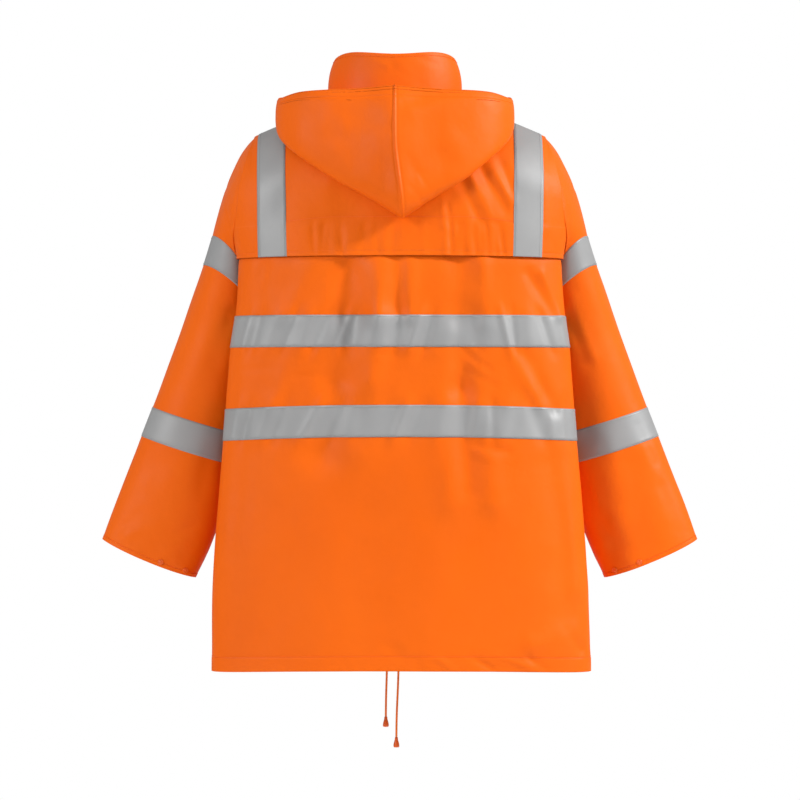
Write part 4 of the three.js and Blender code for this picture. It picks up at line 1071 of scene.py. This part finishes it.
UNDER = -COLLAR_WALL - 0.8  # the zip's tapes lie this far behind the cloth
closure_heights = np.concatenate([
    np.linspace(HEM_Z + 11, NECK_FRONT_Z, 180), np.linspace(NECK_FRONT_Z + 1, COLLAR_FRONT_TOP - 3, 30)])
for side_name, start, end in (("left", 3.4, 18.0), ("right", -18.0, -3.4)):
    grid = closure_point(closure_heights[:, None], np.linspace(start, end, 5)[None, :])
    normals = grid_normals(grid)
    made = sheet_mesh(f"zip_tape_{side_name}_cloth", grid + normals * UNDER, normals, CLOTH, ZIP_TAPE_FINISH)
    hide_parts(f"zip_tape_{side_name}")


def box_mesh(centres, across, up, out, sizes):
    """Many small boxes as one set of points and faces. sizes are half sizes along the three directions."""
    corners = np.array([(i, j, k) for k in (-1, 1) for j in (-1, 1) for i in (-1, 1)], float)
    points = (centres[:, None] + across[:, None] * (corners[:, 0] * sizes[0])[None, :, None]
              + up[:, None] * (corners[:, 1] * sizes[1])[None, :, None]
              + out[:, None] * (corners[:, 2] * sizes[2])[None, :, None])
    quads = np.array([(0, 2, 3, 1), (4, 5, 7, 6), (0, 1, 5, 4), (2, 6, 7, 3), (0, 4, 6, 2), (1, 3, 7, 5)])
    faces = (quads[None] + (np.arange(len(centres)) * 8)[:, None, None]).reshape(-1, 4)
    return points.reshape(-1, 3), faces


def simple_mesh(name, points, faces, finish, shade=False):
    mesh = bpy.data.meshes.new(name)
    mesh.from_pydata((points * MM).tolist(), [], faces.tolist())
    mesh.materials.append(finish)
    if shade:
        mesh.polygons.foreach_set("use_smooth", [True] * len(mesh.polygons))
    mesh.update()
    made = bpy.data.objects.new(name, mesh)
    scene.collection.objects.link(made)
    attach(made, "jacket")
    return made


# Zip teeth: two rows that mesh, one tooth every 3 mm on each side.
TOOTH_PITCH, TOOTH_HALVES = 3.0, (2.1, 0.62, 1.45)
tooth_z = np.arange(HEM_Z + 13, COLLAR_FRONT_TOP - 9, TOOTH_PITCH / 2)
sides = np.where(np.arange(len(tooth_z)) % 2 == 0, 1.0, -1.0)
centre = closure_point(tooth_z, sides * 0.9)
above = closure_point(tooth_z + 1, sides * 0.9)
beside = closure_point(tooth_z, sides * 0.9 + 0.5)
up = unit(above - centre)
across = unit(beside - centre)
out = unit(np.cross(across, up))
points, faces = box_mesh(centre + out * (UNDER + 1.5), across, up, out, TOOTH_HALVES)
teeth = simple_mesh("zip_teeth", points, faces, ZIP_PLASTIC)
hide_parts("zip_chain")

# Hard pieces that CAD shows
for name, finish in (("zip_bottom_box", ZIP_PLASTIC), ("zip_slider", METAL), ("zip_pull", METAL)):
    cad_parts[name].data.materials.clear()
    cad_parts[name].data.materials.append(finish)


def lathe(name, place, axis, profile, finish, node_name, segments=40):
    """A turned piece from (radius, height) pairs in millimetres, standing on place along axis."""
    axis = Vector(axis).normalized()
    turn = Vector((0, 0, 1)).rotation_difference(axis).to_matrix()
    points, faces = [], []
    count = len(profile)
    for k in range(segments):
        angle = 2 * math.pi * k / segments
        for radius, height in profile:
            p = turn @ Vector((radius * math.cos(angle), radius * math.sin(angle), height))
            points.append([p.x + place[0], p.y + place[1], p.z + place[2]])
        for i in range(count - 1):
            a = k * count + i
            b = ((k + 1) % segments) * count + i
            faces.append((a, b, b + 1, a + 1))
    made = simple_mesh(name, np.array(points), np.array(faces), finish, shade=True)
    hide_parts(node_name)
    return made


STUD_TURNS, STUD_RING = (103.0, 138.0), 8.877
STUD_PROFILE = [
    (0.01, 0), (4.5, 0), (4.5, 0.9), (4.2, 1.4), (3.3, 1.5), (3.0, 1.1), (2.2, 1.0), (1.8, 1.6), (1.0, 1.8),
    (0.01, 1.8)]
for side_name, (skin, side) in sleeve_skins.items():
    mirror = np.array([side, 1, 1.0])
    for i, degrees in enumerate(STUD_TURNS):
        place, normal = skin.at(np.array(math.radians(degrees)), np.array(STUD_RING), 0.3)
        lathe(f"stud_{side_name}_{i + 1}", place * mirror, normal * mirror, STUD_PROFILE, PLASTIC,
              f"cuff_stud_{side_name}_{i + 1}")

# Drawcord
CORD_DIAMETER = 0.0035
EYELET_Z, EYELET_SPREAD = -866.0, 9.5
# across to the wearer's left, out from the skin, down: millimetres from the eyelet's place on the skin
CORD_ROUTES = {
    "left": [(0, 0, 0), (0, 3.5, 0), (0, 7, 0.3), (0.1, 10.5, 2.1), (0.2, 12.8, 5.4), (0.3, 13.9, 9.8),
             (0.4, 14.1, 15), (0.5, 13.7, 22), (0.6, 13.1, 31), (0.8, 12.6, 42), (1.1, 12.5, 54),
             (1.5, 12.7, 67), (1.9, 13, 80), (2.2, 13.2, 93), (2.4, 13.2, 106), (2.5, 13.1, 119)],
    "right": [(0, 0, 0), (0, 3.5, 0), (0, 7, 0.3), (0.1, 10.4, 2.2), (0.2, 12.6, 5.6), (0.3, 13.6, 10),
              (0.4, 13.7, 15.2), (0.5, 13.2, 23), (0.5, 12.5, 34), (0.7, 12, 48), (1.2, 11.8, 64),
              (1.9, 12, 81), (2.7, 12.3, 99), (3.4, 12.5, 117), (3.8, 12.5, 135), (4, 12.4, 153)],
}
EYELET_PROFILE = [(2.5, 0), (2.5, 1.0), (2.8, 1.5), (3.5, 1.6), (4.1, 1.2), (4.4, 0.2), (4.4, 0)]
BELL = [
    (0.01, 17.0), (1.8, 16.9), (2.5, 16.2), (2.7, 13.0), (3.2, 11.0), (4.2, 7.5), (4.8, 4.5), (5.0, 1.8),
    (4.5, 0.4), (3.6, 0), (0.01, 0)]
for side_name, side in SIDES:
    skin_place = closure_point(np.array(EYELET_Z), np.array(side * EYELET_SPREAD))
    lathe(f"eyelet_{side_name}", skin_place + np.array([0, -0.3, 0]), (0, -1, 0), EYELET_PROFILE, METAL,
          f"hem_eyelet_{side_name}")
    route = [(skin_place[0] + a, skin_place[1] - 0.3 - o, skin_place[2] - d)
             for a, o, d in CORD_ROUTES[side_name]]
    line = centripetal(route, 90) * MM
    curve = bpy.data.curves.new(f"drawcord_{side_name}_line", "CURVE")
    curve.dimensions = "3D"
    spline = curve.splines.new("POLY")
    spline.points.add(len(line) - 1)
    for k, p in enumerate(line):
        spline.points[k].co = (*p, 1)
    curve.bevel_depth = CORD_DIAMETER / 2
    curve.bevel_resolution = 4
    curve.use_fill_caps = True
    curve.materials.append(BRAID)
    made = bpy.data.objects.new(f"free_cord_{side_name}", curve)
    scene.collection.objects.link(made)
    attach(made, "jacket")
    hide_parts(f"drawcord_{side_name}")
    end = np.array(route[-1])
    bell = lathe(f"bell_{side_name}", end - np.array([0, 0, 17.3]), (0, 0, 1), BELL, PLASTIC,
                 f"cord_end_{side_name}")

# Stitching
STITCH, STITCH_GAP, THREAD_HALF, THREAD_OUT = 2.6, 0.9, 0.26, 0.12
TAPE_INSET = 2.5  # from a tape's edge to its stitching
stitch_sets = {"cloth": [], "tape": []}


def stitch_line(path, normals, kind="cloth"):
    """Short thread pieces along a path on the cloth (points in mm, with normals)."""
    run = np.concatenate([[0], np.cumsum(np.linalg.norm(np.diff(path, axis=0), axis=1))])
    count = int(run[-1] / (STITCH + STITCH_GAP))
    if count < 2:
        return
    middle = (np.arange(count) + 0.5) * (STITCH + STITCH_GAP)

    def at(distance, values):
        return np.stack([np.interp(distance, run, values[:, k]) for k in range(3)], -1)

    centre = at(middle, path)
    ahead = unit(at(middle + STITCH / 2, path) - at(middle - STITCH / 2, path))
    out = unit(at(middle, normals))
    out = unit(out - ahead * np.sum(out * ahead, -1, keepdims=True))
    across = np.cross(ahead, out)
    stitch_sets[kind].append((centre + out * THREAD_OUT, ahead, across, out))


def stitched(skin, turns, levels, lift, mirror=None, kind="cloth"):
    points, normals = skin.at(np.asarray(turns, float), np.asarray(levels, float), lift)
    if mirror is not None:
        points, normals = points * mirror, normals * mirror
    stitch_line(points, normals, kind)


turns, levels = back_grid([HEM_LINE], 300, 1.0)
stitched(body_back, turns[0], levels[0], 0.1)
for side in (1, -1):
    turns, levels = front_grid([HEM_LINE], 160, 1.0, side, 6.0)
    stitched(body_front, turns[0], levels[0], 0.1)
    edge_levels = np.linspace(HEM_Z + 3, TIP_Z - 4, 300)
    for inset in (7.0, 22.0):
        turns, levels = front_grid(edge_levels, 2, 1.0, side, inset)
        column = 0 if side > 0 else 1
        stitched(body_front, turns[:, column], levels[:, column], 0.05)
for skin, turns, levels in tapes:
    for row, inset in ((0, TAPE_INSET), (-1, -TAPE_INSET)):
        stitched(skin, turns[row], levels[row] + inset, BAND_LIFT + 0.1, kind="tape")
for turns, levels in shoulder_paths:
    for column in (1, -2):
        points, normals = over_shoulder(turns[:, column], levels[:, column], TAPE_LIFT + 0.05)
        stitch_line(points, normals, "tape")
for near in YOKE_LINES:
    turns, levels = back_grid([float(rise_level(YOKE_EDGE_RISE)) + near], 300, 3.0)
    stitched(body_yoke, turns[0], levels[0], YOKE_OUT + 0.1)
turns, levels = back_grid([float(rise_level(YOKE_STITCH_RISE))], 300, 3.0)
stitched(body_yoke, turns[0], levels[0], YOKE_OUT + 0.1)
loop = np.linspace(0, 2 * np.pi, 200)
for skin, side in sleeve_skins.values():
    mirror = np.array([side, 1, 1.0])
    stitched(skin, loop, np.full(loop.size, CUFF_LINE), 0.1, mirror)
    for ring in (0.06, 0.94, 5.06, 5.94):
        stitched(skin, loop, np.full(loop.size, ring), TAPE_LIFT + 0.1, mirror, "tape")
for rise in (COLLAR_STITCH, 0.05):
    stitched(collar_skin, np.linspace(-np.pi / 2 + 0.08, 1.5 * np.pi - 0.08, 300), np.full(300, rise), 0.05)
for kind, name, finish, slot_name in (("cloth", "stitching", THREAD, "shell"),
                                      ("tape", "tape_stitching", GREY_THREAD, "reflective_tape")):
    directions = (np.concatenate([line[k] for line in stitch_sets[kind]]) for k in range(4))
    points, faces = box_mesh(*directions, (STITCH / 2, THREAD_HALF, THREAD_HALF))
    simple_mesh(name, points, faces, finish)
